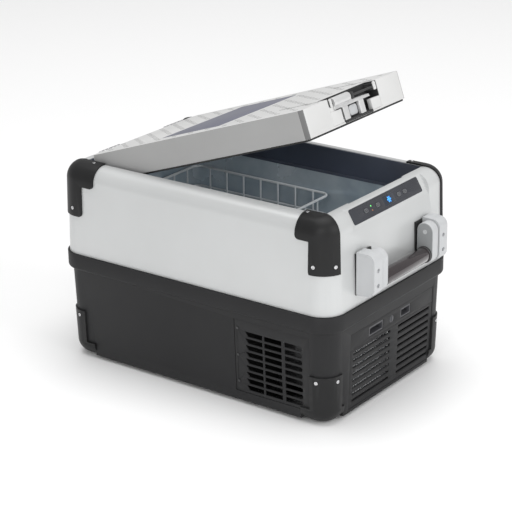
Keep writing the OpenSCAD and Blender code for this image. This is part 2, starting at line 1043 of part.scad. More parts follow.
module control_board() {
    color("darkgreen")
        on_slope()
            translate([panel_from_top + 1, -96, -console_t - 5])
                cube([20, 192, 1.6]);
}

// ---- corner armour ----

module cap_section(z0) {
    difference() {
        case_outline(cap_t);
        case_outline(0);
        translate([-1, split_z - 1])
            square([100, z0 - split_z + 1]);
        translate([-1, split_z])
            square([rim_u + 2.5, 300]);
    }
}

module corner_cap(sx, sy) {
    extra = sx > 0 ? 0 : cap_rear_extra;
    lobe = cap_reach - corner_r + extra;
    color([0.09, 0.09, 0.095])
        difference() {
            at_corner(sx, sy) {
                corner_sweep(cap_strip + extra, 2)
                    cap_section(cap_z);
                corner_sweep(lobe, 2)
                    cap_section(lobe_z);
            }
            at_corner(sx, sy)
                linear_extrude(rim_z + 40)
                    polygon([[0, -10], [90, -10], [90, 90 * tan(cap_start)], [0, 0]]);
            cap_points()
                screw_hole();
            cap_top_points()
                screw_hole();
        }
}

module cap_front_right() {
    corner_cap(1, -1);
}

module cap_front_left() {
    corner_cap(-1, -1);
}

module cap_rear_right() {
    corner_cap(1, 1);
}

module cap_rear_left() {
    corner_cap(-1, 1);
}

module foot_section(z1) {
    pad = 1.5;
    u = corner_r - housing_in(foot_r + pad) + cap_t - foot_r;
    difference() {
        union() {
            housing_outline(cap_t, foot_r + pad, z1);
            translate([0, pad])
                square([u, foot_r + e]);
            translate([u, foot_r + pad])
                intersection() {
                    circle(foot_r);
                    translate([0, -foot_r])
                        square(foot_r + e);
                }
        }
        rounded_outline(0, z1 + 1);
    }
}

module foot(sx, sy) {
    color([0.1, 0.1, 0.105])
        difference() {
            at_corner(sx, sy) {
                corner_sweep(armour_reach, armour_reach)
                    foot_section(foot_h);
                corner_sweep(foot_side, foot_end)
                    foot_section(30);
                translate([-foot_side, -foot_end, 1.5])
                    cube([foot_side + e, foot_end + e, floor_z - 1.5]);
            }
            foot_points()
                screw_hole();
        }
}

module foot_front_right() {
    foot(1, -1);
}

module foot_front_left() {
    foot(-1, -1);
}

module foot_rear_right() {
    foot(1, 1);
}

module foot_rear_left() {
    foot(-1, 1);
}

module foot_pads() {
    color("black")
        for (sx = [-1, 1])
            for (sy = [-1, 1])
                at_corner(sx, sy)
                    translate([-9, -4, 0])
                        cylinder(r = 8, h = 1.5);
}

module cap_screws() {
    color("silver") {
        cap_points()
            screw(8);
        cap_top_points()
            screw(5);
    }
}

module foot_screws() {
    color("silver")
        foot_points()
            screw(8);
}

// ---- handles ----

module handle_sides(end) {
    mirror([end < 0 ? 1 : 0, 0, 0])
        for (s = [0, 1])
            mirror([0, s, 0])
                children();
}

module handle_base_plates() {
    z0 = bracket_z - 2;
    z1 = bracket_z + bracket_h - 4;
    color([0.07, 0.07, 0.07])
        for (end = [-1, 1])
            handle_sides(end)
                translate([0, handle_w / 2, 0])
                    rotate([90, 0, 0])
                        linear_extrude(handle_w / 2 - arm_in + 1)
                            polygon([[case_half_l - case_in(z0), z0], [bracket_x, z0],
                                [bracket_x, z1], [case_half_l - case_in(z1), z1]]);
}

// Side view of a bracket, rounded at its two outer corners
module bracket_outline() {
    r = 15;
    translate([bracket_x, bracket_z])
        square([bracket_d - r, bracket_h]);
    translate([bracket_x, bracket_z + r])
        square([bracket_d, bracket_h - 2 * r]);
    for (z = [bracket_z + r, bracket_z + bracket_h - r])
        translate([bracket_x + bracket_d - r, z])
            circle(r);
}

module pivot_hole(r) {
    translate([pivot_x, handle_w / 2 - 5, pivot_z])
        rotate([90, 0, 0])
            cylinder(r = r, h = handle_w / 2 - arm_in - 8);
}

module bracket_screw_places() {
    for (z = [bracket_z + 20, bracket_z + 48])
        translate([bracket_x + bracket_d, handle_w / 2 - bracket_t / 2, z])
            rotate([0, 90, 0])
                children();
}

module handle_brackets(end) {
    color([0.66, 0.67, 0.68])
        handle_sides(end)
            difference() {
                translate([0, handle_w / 2, 0])
                    rotate([90, 0, 0])
                        linear_extrude(bracket_t)
                            bracket_outline();
                pivot_hole(pivot_r);
                bracket_screw_places()
                    translate([0, 0, -4])
                        cylinder(r = 4, h = 5);
            }
}

module handle_brackets_right() {
    handle_brackets(1);
}

module handle_brackets_left() {
    handle_brackets(-1);
}

module handle_arms(end) {
    color([0.62, 0.63, 0.64])
        handle_sides(end)
            difference() {
                translate([0, arm_out, 0])
                    rotate([90, 0, 0])
                        linear_extrude(arm_t) {
                            for (z = [pivot_z, grip_z])
                                translate([pivot_x, z])
                                    circle(arm_r);
                            translate([pivot_x - arm_r, grip_z])
                                square([2 * arm_r, pivot_z - grip_z]);
                        }
                translate([pivot_x, arm_out + 1, pivot_z])
                    rotate([90, 0, 0])
                        cylinder(r = pivot_r + pin_fit, h = arm_t - 3);
            }
}

module handle_arms_right() {
    handle_arms(1);
}

module handle_arms_left() {
    handle_arms(-1);
}

module grip(end) {
    color([0.2, 0.17, 0.17])
        mirror([end < 0 ? 1 : 0, 0, 0])
            translate([pivot_x, arm_in, grip_z])
                rotate([90, 0, 0])
                    difference() {
                        cylinder(r = grip_r, h = 2 * arm_in);
                        translate([0, 0, -1])
                            cylinder(r = grip_r - 2.5, h = 2 * arm_in + 2);
                    }
}

module grip_right() {
    grip(1);
}

module grip_left() {
    grip(-1);
}

module handle_pins(end) {
    color("silver")
        handle_sides(end)
            pivot_rod();
}

module pivot_rod() {
    translate([pivot_x, handle_w / 2 - 5, pivot_z])
        rotate([90, 0, 0])
            cylinder(r = pivot_r, h = bracket_t + arm_gap + arm_t - 9.5);
}

module handle_pins_right() {
    handle_pins(1);
}

module handle_pins_left() {
    handle_pins(-1);
}

// ---- grilles and sockets ----

// A slot of the side grille; the first column has slanted ends and the last one rounded ends
module grille_slot(column) {
    lean = column == 0 ? 6 : 0;
    round_end = column == 2 ? slot_h / 2 - 0.1 : 0;
    polygon([[lean, 0], [slot_w - round_end, 0], [slot_w - round_end, slot_h], [0, slot_h]]);
    if (column == 2)
        translate([slot_w - slot_h / 2, slot_h / 2])
            circle(slot_h / 2);
}

module side_grille() {
    z0 = grille_z0 - floor_z;
    h = grille_z1 - grille_z0;
    color([0.17, 0.17, 0.175])
        on_side_wall()
            difference() {
                union() {
                    translate([grille_x + 0.4, z0 + 0.4, -grille_t - 0.6])
                        cube([grille_w - 0.8, h - 0.8, grille_t]);
                    translate([grille_x + 0.4, z0 + 0.4, -grille_t - 4])
                        cube([2, h - 0.8, 4]);
                    translate([grille_x + grille_w - 2.4, z0 + 0.4, -grille_t - 4])
                        cube([2, h - 0.8, 4]);
                }
                for (column = [0 : 2])
                    for (row = [0 : slot_rows - 1])
                        if (slot_top - floor_z - (row + 1) * slot_pitch > z0 - 4)
                            translate([slot_x[column], slot_top - floor_z - slot_h - row * slot_pitch,
                                -grille_t - 5])
                                linear_extrude(grille_t + 8)
                                    grille_slot(column);
                for (y = [z0 + 20 : 52 : h])
                    translate([grille_x + 7, y, -grille_t - 5])
                        cylinder(r = 1.3, h = grille_t + 8);
            }
}

module grille_screws() {
    color("dimgray")
        on_side_wall()
            for (y = [grille_z0 - floor_z + 20 : 52 : grille_z1 - grille_z0])
                translate([grille_x + 7, y, -grille_t - 3]) {
                    cylinder(r = 1.2, h = grille_t + 2.5);
                    translate([0, 0, grille_t + 2.4])
                        cylinder(r = 2.4, h = 1);
                }
}

// Field of the end vents up to a height, with room left for the foot at its lower corner
module louvre_field(inset, z1, depth0, depth1) {
    foot_edge = case_half_w - corner_r - foot_end - 0.5;
    difference() {
        translate([louvre_y0 + inset, louvre_z0 + inset, depth0])
            cube([louvre_y1 - louvre_y0 - 2 * inset, z1 - louvre_z0 - inset, depth1 - depth0]);
        translate([foot_edge - inset, 0, depth0 - 1])
            cube([60, 30.5 - floor_z + inset, depth1 - depth0 + 2]);
    }
}

module end_louvres() {
    color([0.15, 0.15, 0.155])
        on_end_wall()
            difference() {
                louvre_field(0.4, socket_z0 - floor_z - 4, -3, -0.4);
                for (side = louvre_y)
                    for (row = [0 : blade_rows - 1])
                        translate([side[0], louvre_top - floor_z - row * louvre_pitch, -1.5])
                            rotate([35, 0, 0])
                                translate([0, -5, -8])
                                    cube([side[1] - side[0], 5, 16]);
            }
}

module socket_panel() {
    color([0.13, 0.13, 0.135])
        on_end_wall()
            difference() {
                translate([louvre_y0 + 0.4, socket_z0 - floor_z - 4, -3])
                    cube([louvre_y1 - louvre_y0 - 0.8, socket_z1 - socket_z0 + 7.4, 2.6]);
                translate([-66, socket_z0 - floor_z + 2, -8])
                    cube([46, 18, 12]);
                translate([8, socket_z0 - floor_z + 11, -8])
                    cylinder(r = 7, h = 12);
                translate([38, socket_z0 - floor_z + 2, -8])
                    cube([34, 18, 12]);
            }
}

module inlet_shell(x, w, pins) {
    h = 18;
    on_end_wall()
        translate([x, socket_z0 - floor_z + 2, 0]) {
            difference() {
                translate([0.2, 0.2, -18])
                    cube([w - 0.4, h - 0.4, 17]);
                translate([3, 3, -15])
                    cube([w - 6, h - 6, 16]);
            }
            for (i = [1 : pins])
                translate([i * w / (pins + 1), h / 2, -15.5])
                    cylinder(r = 1.6, h = 7);
        }
}

module ac_inlet() {
    color([0.2, 0.21, 0.23])
        inlet_shell(-66, 46, 2);
}

module dc_inlet() {
    color([0.22, 0.23, 0.26])
        inlet_shell(38, 34, 2);
}

module fuse_cap() {
    color([0.2, 0.2, 0.22])
        on_end_wall()
            translate([8, socket_z0 - floor_z + 11, -14]) {
                cylinder(r = 6.8, h = 13.6);
                translate([-1, -5, 13])
                    cube([2, 10, 1.8]);
            }
}

// ---- machine bay ----

module compressor() {
    bay_floor = floor_z + housing_wall + 1.5;
    color([0.12, 0.12, 0.13]) {
        translate([compressor_x, compressor_y, bay_floor + 10])
            rotate_extrude()
                difference() {
                    union() {
                        square([compressor_r, 95]);
                        translate([0, 95])
                            square([compressor_r - 20, 20]);
                        translate([compressor_r - 20, 95])
                            circle(20);
                    }
                    translate([-80, -80])
                        square([80, 300]);
                }
        for (a = [45 : 90 : 315])
            translate([compressor_x + 52 * cos(a), compressor_y + 52 * sin(a), bay_floor])
                cylinder(r = 9, h = 12);
    }
}

module condenser() {
    x0 = case_half_l - housing_draft - 34;
    bay_floor = floor_z + housing_wall + 1.5;
    color("silver")
        difference() {
            translate([x0, -118, bay_floor])
                cube([22, 140, 112]);
            for (y = [-112 : 8 : 12])
                for (x = [x0 - 1, x0 + 14])
                    translate([x, y, bay_floor + 6])
                        cube([9, 5, 100]);
        }
}

module fan_frame() {
    half = fan_r + 3;
    color([0.1, 0.1, 0.1]) {
        difference() {
            translate([fan_x - fan_t / 2, fan_y - half, fan_z - half])
                cube([fan_t, 2 * half, 2 * half]);
            translate([fan_x - fan_t, fan_y, fan_z])
                rotate([0, 90, 0])
                    cylinder(r = fan_r, h = 2 * fan_t);
        }
        for (a = [0 : 90 : 270])
            translate([fan_x - fan_t / 2, fan_y, fan_z])
                rotate([a, 0, 0])
                    translate([0, -3, 16])
                        cube([3, 6, fan_r - 15]);
        translate([fan_x - fan_t / 2, fan_y, fan_z])
            rotate([0, 90, 0]) {
                cylinder(r = 20, h = 3);
                cylinder(r = fan_shaft_r, h = fan_t - 5);
            }
    }
}

module fan_rotor() {
    color([0.15, 0.15, 0.16])
        difference() {
            translate([fan_x, fan_y, fan_z]) {
                translate([-7, 0, 0])
                    rotate([0, 90, 0])
                        cylinder(r = 19, h = 17);
                for (a = [0 : 360 / 7 : 359])
                    rotate([a, 0, 0])
                        translate([0, 0, 17])
                            rotate([0, 0, 40])
                                translate([-9, -1, 0])
                                    cube([17, 2, fan_r - 20]);
            }
            translate([fan_x - fan_t, fan_y, fan_z])
                rotate([0, 90, 0])
                    cylinder(r = fan_shaft_r + pin_fit, h = fan_t + 7.5);
        }
}

lower_housing();
base_plate();
outer_case();
recess_frame();
food_liner();
insulation();
evaporator();
interior_light();
wire_basket();
lid_shell();
lid_liner();
lid_foam();
lid_seal();
lid_inlay();
lid_hinge_leaves();
case_hinge_leaves();
hinge_pins();
latch_housing();
latch_handle();
latch_pin();
strike_plate();
control_panel();
display_window();
button_power();
button_set();
button_up();
button_down();
status_leds();
control_board();
cap_front_right();
cap_front_left();
cap_rear_right();
cap_rear_left();
foot_front_right();
foot_front_left();
foot_rear_right();
foot_rear_left();
foot_pads();
cap_screws();
foot_screws();
handle_base_plates();
handle_brackets_right();
handle_brackets_left();
handle_arms_right();
handle_arms_left();
grip_right();
grip_left();
handle_pins_right();
handle_pins_left();
side_grille();
grille_screws();
end_louvres();
socket_panel();
ac_inlet();
dc_inlet();
fuse_cap();
compressor();
condenser();
fan_frame();
fan_rotor();
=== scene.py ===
"""Looks of a portable compressor cooler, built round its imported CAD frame."""

import json
import logging
import math
import random
from dataclasses import dataclass, field
from enum import Enum
from typing import Callable, Iterable, Optional, Sequence, Tuple

import bpy
from mathutils import Matrix, Vector


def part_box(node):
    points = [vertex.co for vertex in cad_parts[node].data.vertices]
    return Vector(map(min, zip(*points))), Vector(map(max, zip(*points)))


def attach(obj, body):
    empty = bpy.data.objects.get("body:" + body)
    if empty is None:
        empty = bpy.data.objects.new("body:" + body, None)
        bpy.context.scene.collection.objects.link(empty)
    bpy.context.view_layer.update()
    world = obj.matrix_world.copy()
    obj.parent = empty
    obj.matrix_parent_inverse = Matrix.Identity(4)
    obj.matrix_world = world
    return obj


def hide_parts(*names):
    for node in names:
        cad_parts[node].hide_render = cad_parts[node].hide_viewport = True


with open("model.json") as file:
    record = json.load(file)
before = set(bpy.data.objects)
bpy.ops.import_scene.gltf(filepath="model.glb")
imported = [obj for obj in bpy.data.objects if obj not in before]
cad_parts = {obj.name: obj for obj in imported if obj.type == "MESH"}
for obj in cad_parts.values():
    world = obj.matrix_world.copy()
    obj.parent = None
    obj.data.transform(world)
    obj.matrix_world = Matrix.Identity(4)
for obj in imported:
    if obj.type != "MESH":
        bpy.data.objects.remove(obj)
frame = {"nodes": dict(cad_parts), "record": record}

Colour = Tuple[float, float, float]
Point = Tuple[float, float, float]

log = logging.getLogger("cooler")
MM = 0.001
WELD = 2e-6
FLAT_ANGLE = math.radians(0.4)
SHARP_ANGLE = math.radians(30)


class Part(Enum):
    """What a selection in edit mode is made of."""

    FACES = "FACE"
    EDGES = "EDGE"
    POINTS = "VERT"


class Surface(Enum):
    """The relief that a finish carries."""

    MOULDED = "moulded"
    PAINTED = "painted"
    BRUSHED = "brushed"
    SMOOTH = "smooth"
    FOAM = "foam"


# ---- working on a mesh ----


def pick(obj: bpy.types.Object) -> None:
    """Selects one object alone and makes it the active one.

    Args:
        obj: The object to work on.
    """
    if bpy.context.mode != "OBJECT":
        bpy.ops.object.mode_set(mode="OBJECT")
    bpy.ops.object.select_all(action="DESELECT")
    obj.select_set(True)
    bpy.context.view_layer.objects.active = obj


def settle(obj: bpy.types.Object) -> bpy.types.Object:
    """Puts the object's place, turn and size into its mesh.

    Args:
        obj: The object to settle.

    Returns:
        The same object.
    """
    pick(obj)
    bpy.ops.object.transform_apply(location=True, rotation=True, scale=True)
    return obj


def choose(obj: bpy.types.Object, part: Part, test: Callable[[Vector, Vector], bool]) -> int:
    """Opens the object in edit mode with only what passes the test selected.

    Args:
        obj: The object to edit.
        part: Faces, edges or points.
        test: Takes a middle point and a direction: a face's normal, an edge's run or a
            point's normal.

    Returns:
        How many were selected.
    """
    pick(obj)
    bpy.ops.object.mode_set(mode="EDIT")
    bpy.ops.mesh.select_mode(type=part.value)
    bpy.ops.mesh.select_all(action="DESELECT")
    bpy.ops.object.mode_set(mode="OBJECT")
    mesh, count = obj.data, 0
    if part is Part.FACES:
        found = [(p, p.center, p.normal) for p in mesh.polygons]
    elif part is Part.EDGES:
        ends = [(e, mesh.vertices[e.vertices[0]].co, mesh.vertices[e.vertices[1]].co) for e in mesh.edges]
        found = [(e, (a + b) / 2, (b - a).normalized()) for e, a, b in ends]
    else:
        found = [(v, v.co, v.normal) for v in mesh.vertices]
    for item, middle, direction in found:
        item.select = bool(test(middle, direction))
        count += item.select
    bpy.ops.object.mode_set(mode="EDIT")
    return count


def done() -> None:
    """Goes back to object mode."""
    bpy.ops.object.mode_set(mode="OBJECT")


def finish_with(obj: bpy.types.Object, kind: str, **settings: object) -> None:
    """Adds a modifier and applies it.

    Args:
        obj: The object that gets it.
        kind: The modifier's type.
        settings: Its settings by name.
    """
    pick(obj)
    modifier = obj.modifiers.new(kind.lower(), kind)
    for key, value in settings.items():
        setattr(modifier, key, value)
    bpy.ops.object.modifier_apply(modifier=modifier.name)


def smooth(obj: bpy.types.Object, degrees: float = 32) -> None:
    """Shades the object smooth, except over edges sharper than the angle."""
    pick(obj)
    bpy.ops.object.shade_smooth_by_angle(angle=math.radians(degrees))


def soften(obj: bpy.types.Object, width: float, segments: int = 3) -> bpy.types.Object:
    """Rounds the sharp edges a little, as a mould leaves them.

    Args:
        obj: The object to soften.
        width: Width of the rounding in metres.
        segments: Faces across the rounding.

    Returns:
        The same object.
    """
    finish_with(
        obj, "BEVEL", width=width, segments=segments, limit_method="ANGLE",
        angle_limit=SHARP_ANGLE, use_clamp_overlap=True, miter_outer="MITER_ARC",
    )
    smooth(obj)
    return obj


def cast(node: str, pierced: bool = False) -> bpy.types.Object:
    """Takes a mould-true copy of a CAD node with its doubles merged and flats made whole.

    Args:
        node: The node's name.
        pierced: Whether its flats have many holes, so that they stay in triangles.

    Returns:
        A new object with its own mesh.
    """
    source = frame["nodes"][node]
    copy = bpy.data.objects.new(node + "_cast", source.data.copy())
    bpy.context.scene.collection.objects.link(copy)
    copy.data.materials.clear()
    if copy.data.has_custom_normals:
        pick(copy)
        bpy.ops.mesh.customdata_custom_splitnormals_clear()
    choose(copy, Part.FACES, lambda middle, normal: True)
    bpy.ops.mesh.remove_doubles(threshold=WELD)
    bpy.ops.mesh.dissolve_limited(angle_limit=FLAT_ANGLE)
    if pierced:
        bpy.ops.mesh.quads_convert_to_tris()
    done()
    return copy


def block(low: Sequence[float], high: Sequence[float]) -> bpy.types.Object:
    """Adds a box between two corners.

    Args:
        low: Lowest corner.
        high: Highest corner.

    Returns:
        The new object, with its place in its mesh.
    """
    bpy.ops.object.select_all(action="DESELECT")
    middle = [(a + b) / 2 for a, b in zip(low, high)]
    bpy.ops.mesh.primitive_cube_add(size=1, location=middle)
    obj = bpy.context.active_object
    obj.scale = [b - a for a, b in zip(low, high)]
    return settle(obj)


def rod(start: Sequence[float], end: Sequence[float], radius: float, sides: int = 32) -> bpy.types.Object:
    """Adds a round bar between two points.

    Args:
        start: Middle of one end.
        end: Middle of the other end.
        radius: Its radius.
        sides: Faces round it.

    Returns:
        The new object, with its place in its mesh.
    """
    bpy.ops.object.select_all(action="DESELECT")
    a, b = Vector(start), Vector(end)
    bpy.ops.mesh.primitive_cylinder_add(vertices=sides, radius=radius, depth=(b - a).length, location=(a + b) / 2)
    obj = bpy.context.active_object
    obj.rotation_mode = "QUATERNION"
    obj.rotation_quaternion = (b - a).to_track_quat("Z", "Y")
    return settle(obj)


def join(objects: Iterable[bpy.types.Object]) -> bpy.types.Object:
    """Joins several objects into the first.

    Args:
        objects: The objects, at least one.

    Returns:
        The joined object.
    """
    objects = list(objects)
    pick(objects[0])
    for obj in objects:
        obj.select_set(True)
    if len(objects) > 1:
        bpy.ops.object.join()
    return objects[0]


def move_mesh(obj: bpy.types.Object, matrix: Matrix) -> bpy.types.Object:
    """Moves an object's mesh and leaves the object at the origin.

    Args:
        obj: The object.
        matrix: Where its mesh goes.

    Returns:
        The same object.
    """
    obj.matrix_world = matrix
    return settle(obj)


def again(obj: bpy.types.Object, matrix: Matrix) -> bpy.types.Object:
    """Copies a piece with a mesh of its own, and moves the copy.

    Args:
        obj: The piece to copy.
        matrix: Where the copy's mesh goes.

    Returns:
        The copy.
    """
    copy = bpy.data.objects.new(obj.name + "_again", obj.data.copy())
    bpy.context.scene.collection.objects.link(copy)
    return move_mesh(copy, matrix)


def press_in(obj: bpy.types.Object, test: Callable[[Vector, Vector], bool], border: float, depth: float) -> None:
    """Insets the chosen faces and moves the inner ones along their normal.

    Args:
        obj: The piece.
        test: Chooses the faces by middle and normal.
        border: Width of the border that stays.
        depth: How far the inner face goes in, or out when negative.
    """
    choose(obj, Part.FACES, test)
    bpy.ops.mesh.inset(thickness=border, depth=-depth, use_boundary=True)
    done()


# ---- shader groups ----


class ShaderKit:
    """Shared shader groups, each built once and placed in many finishes."""

    def __init__(self) -> None:
        """Makes every group."""
        self.grain = self._grain()
        self.blotch = self._blotch()
        self.wear = self._wear()
        self.dust = self._dust()
        self.drawn = self._drawn()

    @staticmethod
    def _tree(name: str, inputs: Sequence[Tuple[str, str]], outputs: Sequence[Tuple[str, str]]) -> bpy.types.NodeTree:
        """Makes an empty group.

        Args:
            name: The group's name.
            inputs: Names and kinds of its inputs.
            outputs: Names and kinds of its outputs.

        Returns:
            The group, with its input and output nodes.
        """
        tree = bpy.data.node_groups.new(name, "ShaderNodeTree")
        for label, kind in inputs:
            tree.interface.new_socket(name=label, in_out="INPUT", socket_type="NodeSocket" + kind)
        for label, kind in outputs:
            tree.interface.new_socket(name=label, in_out="OUTPUT", socket_type="NodeSocket" + kind)
        tree.nodes.new("NodeGroupInput").name = "in"
        tree.nodes.new("NodeGroupOutput").name = "out"
        return tree

    def _grain(self) -> bpy.types.NodeTree:
        """A moulded grain: height and a fine mask.

        Returns:
            The group.
        """
        tree = self._tree("moulded_grain", [("Vector", "Vector"), ("Scale", "Float")], [("Height", "Float"), ("Mask", "Float")])
        n, l = tree.nodes, tree.links
        cells = n.new("ShaderNodeTexVoronoi")
        cells.feature = "SMOOTH_F1"
        cells.inputs["Smoothness"].default_value = 0.6
        fine = n.new("ShaderNodeTexNoise")
        fine.inputs["Detail"].default_value = 3
        total = n.new("ShaderNodeMath")
        total.operation = "MULTIPLY_ADD"
        total.inputs[1].default_value = 0.6
        l.new(n["in"].outputs["Vector"], cells.inputs["Vector"])
        l.new(n["in"].outputs["Vector"], fine.inputs["Vector"])
        l.new(n["in"].outputs["Scale"], cells.inputs["Scale"])
        l.new(n["in"].outputs["Scale"], fine.inputs["Scale"])
        l.new(cells.outputs["Distance"], total.inputs[0])
        l.new(fine.outputs["Fac"], total.inputs[2])
        l.new(total.outputs[0], n["out"].inputs["Height"])
        l.new(fine.outputs["Fac"], n["out"].inputs["Mask"])
        return tree

    def _blotch(self) -> bpy.types.NodeTree:
        """Slow colour variation between two tones.

        Returns:
            The group.
        """
        tree = self._tree(
            "slow_blotch",
            [("Vector", "Vector"), ("Scale", "Float"), ("Tone", "Color"), ("Other", "Color")],
            [("Color", "Color"), ("Mask", "Float")],
        )
        n, l = tree.nodes, tree.links
        noise = n.new("ShaderNodeTexNoise")
        noise.inputs["Detail"].default_value = 4
        ramp = n.new("ShaderNodeMapRange")
        ramp.inputs["From Min"].default_value = 0.35
        ramp.inputs["From Max"].default_value = 0.68
        mix = n.new("ShaderNodeMix")
        mix.data_type = "RGBA"
        l.new(n["in"].outputs["Vector"], noise.inputs["Vector"])
        l.new(n["in"].outputs["Scale"], noise.inputs["Scale"])
        l.new(noise.outputs["Fac"], ramp.inputs["Value"])
        l.new(ramp.outputs["Result"], mix.inputs["Factor"])
        l.new(n["in"].outputs["Tone"], mix.inputs["A"])
        l.new(n["in"].outputs["Other"], mix.inputs["B"])
        l.new(mix.outputs["Result"], n["out"].inputs["Color"])
        l.new(ramp.outputs["Result"], n["out"].inputs["Mask"])
        return tree

    def _wear(self) -> bpy.types.NodeTree:
        """Rubbed edges: a broken line of the worn tone where the surface is convex.

        Returns:
            The group.
        """
        tree = self._tree(
            "rubbed_edges",
            [("Vector", "Vector"), ("Color", "Color"), ("Worn", "Color"), ("Amount", "Float")],
            [("Color", "Color"), ("Mask", "Float")],
        )
        n, l = tree.nodes, tree.links
        geometry = n.new("ShaderNodeNewGeometry")
        edge = n.new("ShaderNodeMapRange")
        edge.inputs["From Min"].default_value = 0.53
        edge.inputs["From Max"].default_value = 0.62
        noise = n.new("ShaderNodeTexNoise")
        noise.inputs["Scale"].default_value = 90
        noise.inputs["Detail"].default_value = 5
        broken = n.new("ShaderNodeMath")
        broken.operation = "MULTIPLY"
        much = n.new("ShaderNodeMath")
        much.operation = "MULTIPLY"
        much.use_clamp = True
        mix = n.new("ShaderNodeMix")
        mix.data_type = "RGBA"
        l.new(geometry.outputs["Pointiness"], edge.inputs["Value"])
        l.new(n["in"].outputs["Vector"], noise.inputs["Vector"])
        l.new(edge.outputs["Result"], broken.inputs[0])
        l.new(noise.outputs["Fac"], broken.inputs[1])
        l.new(broken.outputs[0], much.inputs[0])
        l.new(n["in"].outputs["Amount"], much.inputs[1])
        l.new(much.outputs[0], mix.inputs["Factor"])
        l.new(n["in"].outputs["Color"], mix.inputs["A"])
        l.new(n["in"].outputs["Worn"], mix.inputs["B"])
        l.new(mix.outputs["Result"], n["out"].inputs["Color"])
        l.new(much.outputs[0], n["out"].inputs["Mask"])
        return tree

    def _dust(self) -> bpy.types.NodeTree:
        """A thin film of dust on what faces up.

        Returns:
            The group.
        """
        tree = self._tree(
            "dust_film",
            [("Vector", "Vector"), ("Color", "Color"), ("Amount", "Float")],
            [("Color", "Color"), ("Mask", "Float")],
        )
        n, l = tree.nodes, tree.links
        geometry = n.new("ShaderNodeNewGeometry")
        split = n.new("ShaderNodeSeparateXYZ")
        up = n.new("ShaderNodeMapRange")
        up.inputs["From Min"].default_value = 0.3
        noise = n.new("ShaderNodeTexNoise")
        noise.inputs["Scale"].default_value = 35
        noise.inputs["Detail"].default_value = 6
        film = n.new("ShaderNodeMath")
        film.operation = "MULTIPLY"
        much = n.new("ShaderNodeMath")
        much.operation = "MULTIPLY"
        mix = n.new("ShaderNodeMix")
        mix.data_type = "RGBA"
        mix.inputs["B"].default_value = (0.55, 0.53, 0.5, 1)
        l.new(geometry.outputs["Normal"], split.inputs[0])
        l.new(split.outputs["Z"], up.inputs["Value"])
        l.new(n["in"].outputs["Vector"], noise.inputs["Vector"])
        l.new(up.outputs["Result"], film.inputs[0])
        l.new(noise.outputs["Fac"], film.inputs[1])
        l.new(film.outputs[0], much.inputs[0])
        l.new(n["in"].outputs["Amount"], much.inputs[1])
        l.new(much.outputs[0], mix.inputs["Factor"])
        l.new(n["in"].outputs["Color"], mix.inputs["A"])
        l.new(mix.outputs["Result"], n["out"].inputs["Color"])
        l.new(much.outputs[0], n["out"].inputs["Mask"])
        return tree

    def _drawn(self) -> bpy.types.NodeTree:
        """Fine lines drawn along one direction, as brushing leaves them.

        Returns:
            The group.
        """
        tree = self._tree("drawn_lines", [("Vector", "Vector"), ("Scale", "Float")], [("Height", "Float")])
        n, l = tree.nodes, tree.links
        stretch = n.new("ShaderNodeVectorMath")
        stretch.operation = "MULTIPLY"
        stretch.inputs[1].default_value = (0.04, 0.04, 1.0)
        noise = n.new("ShaderNodeTexNoise")
        noise.inputs["Detail"].default_value = 2
        l.new(n["in"].outputs["Vector"], stretch.inputs[0])
        l.new(stretch.outputs[0], noise.inputs["Vector"])
        l.new(n["in"].outputs["Scale"], noise.inputs["Scale"])
        l.new(noise.outputs["Fac"], n["out"].inputs["Height"])
        return tree


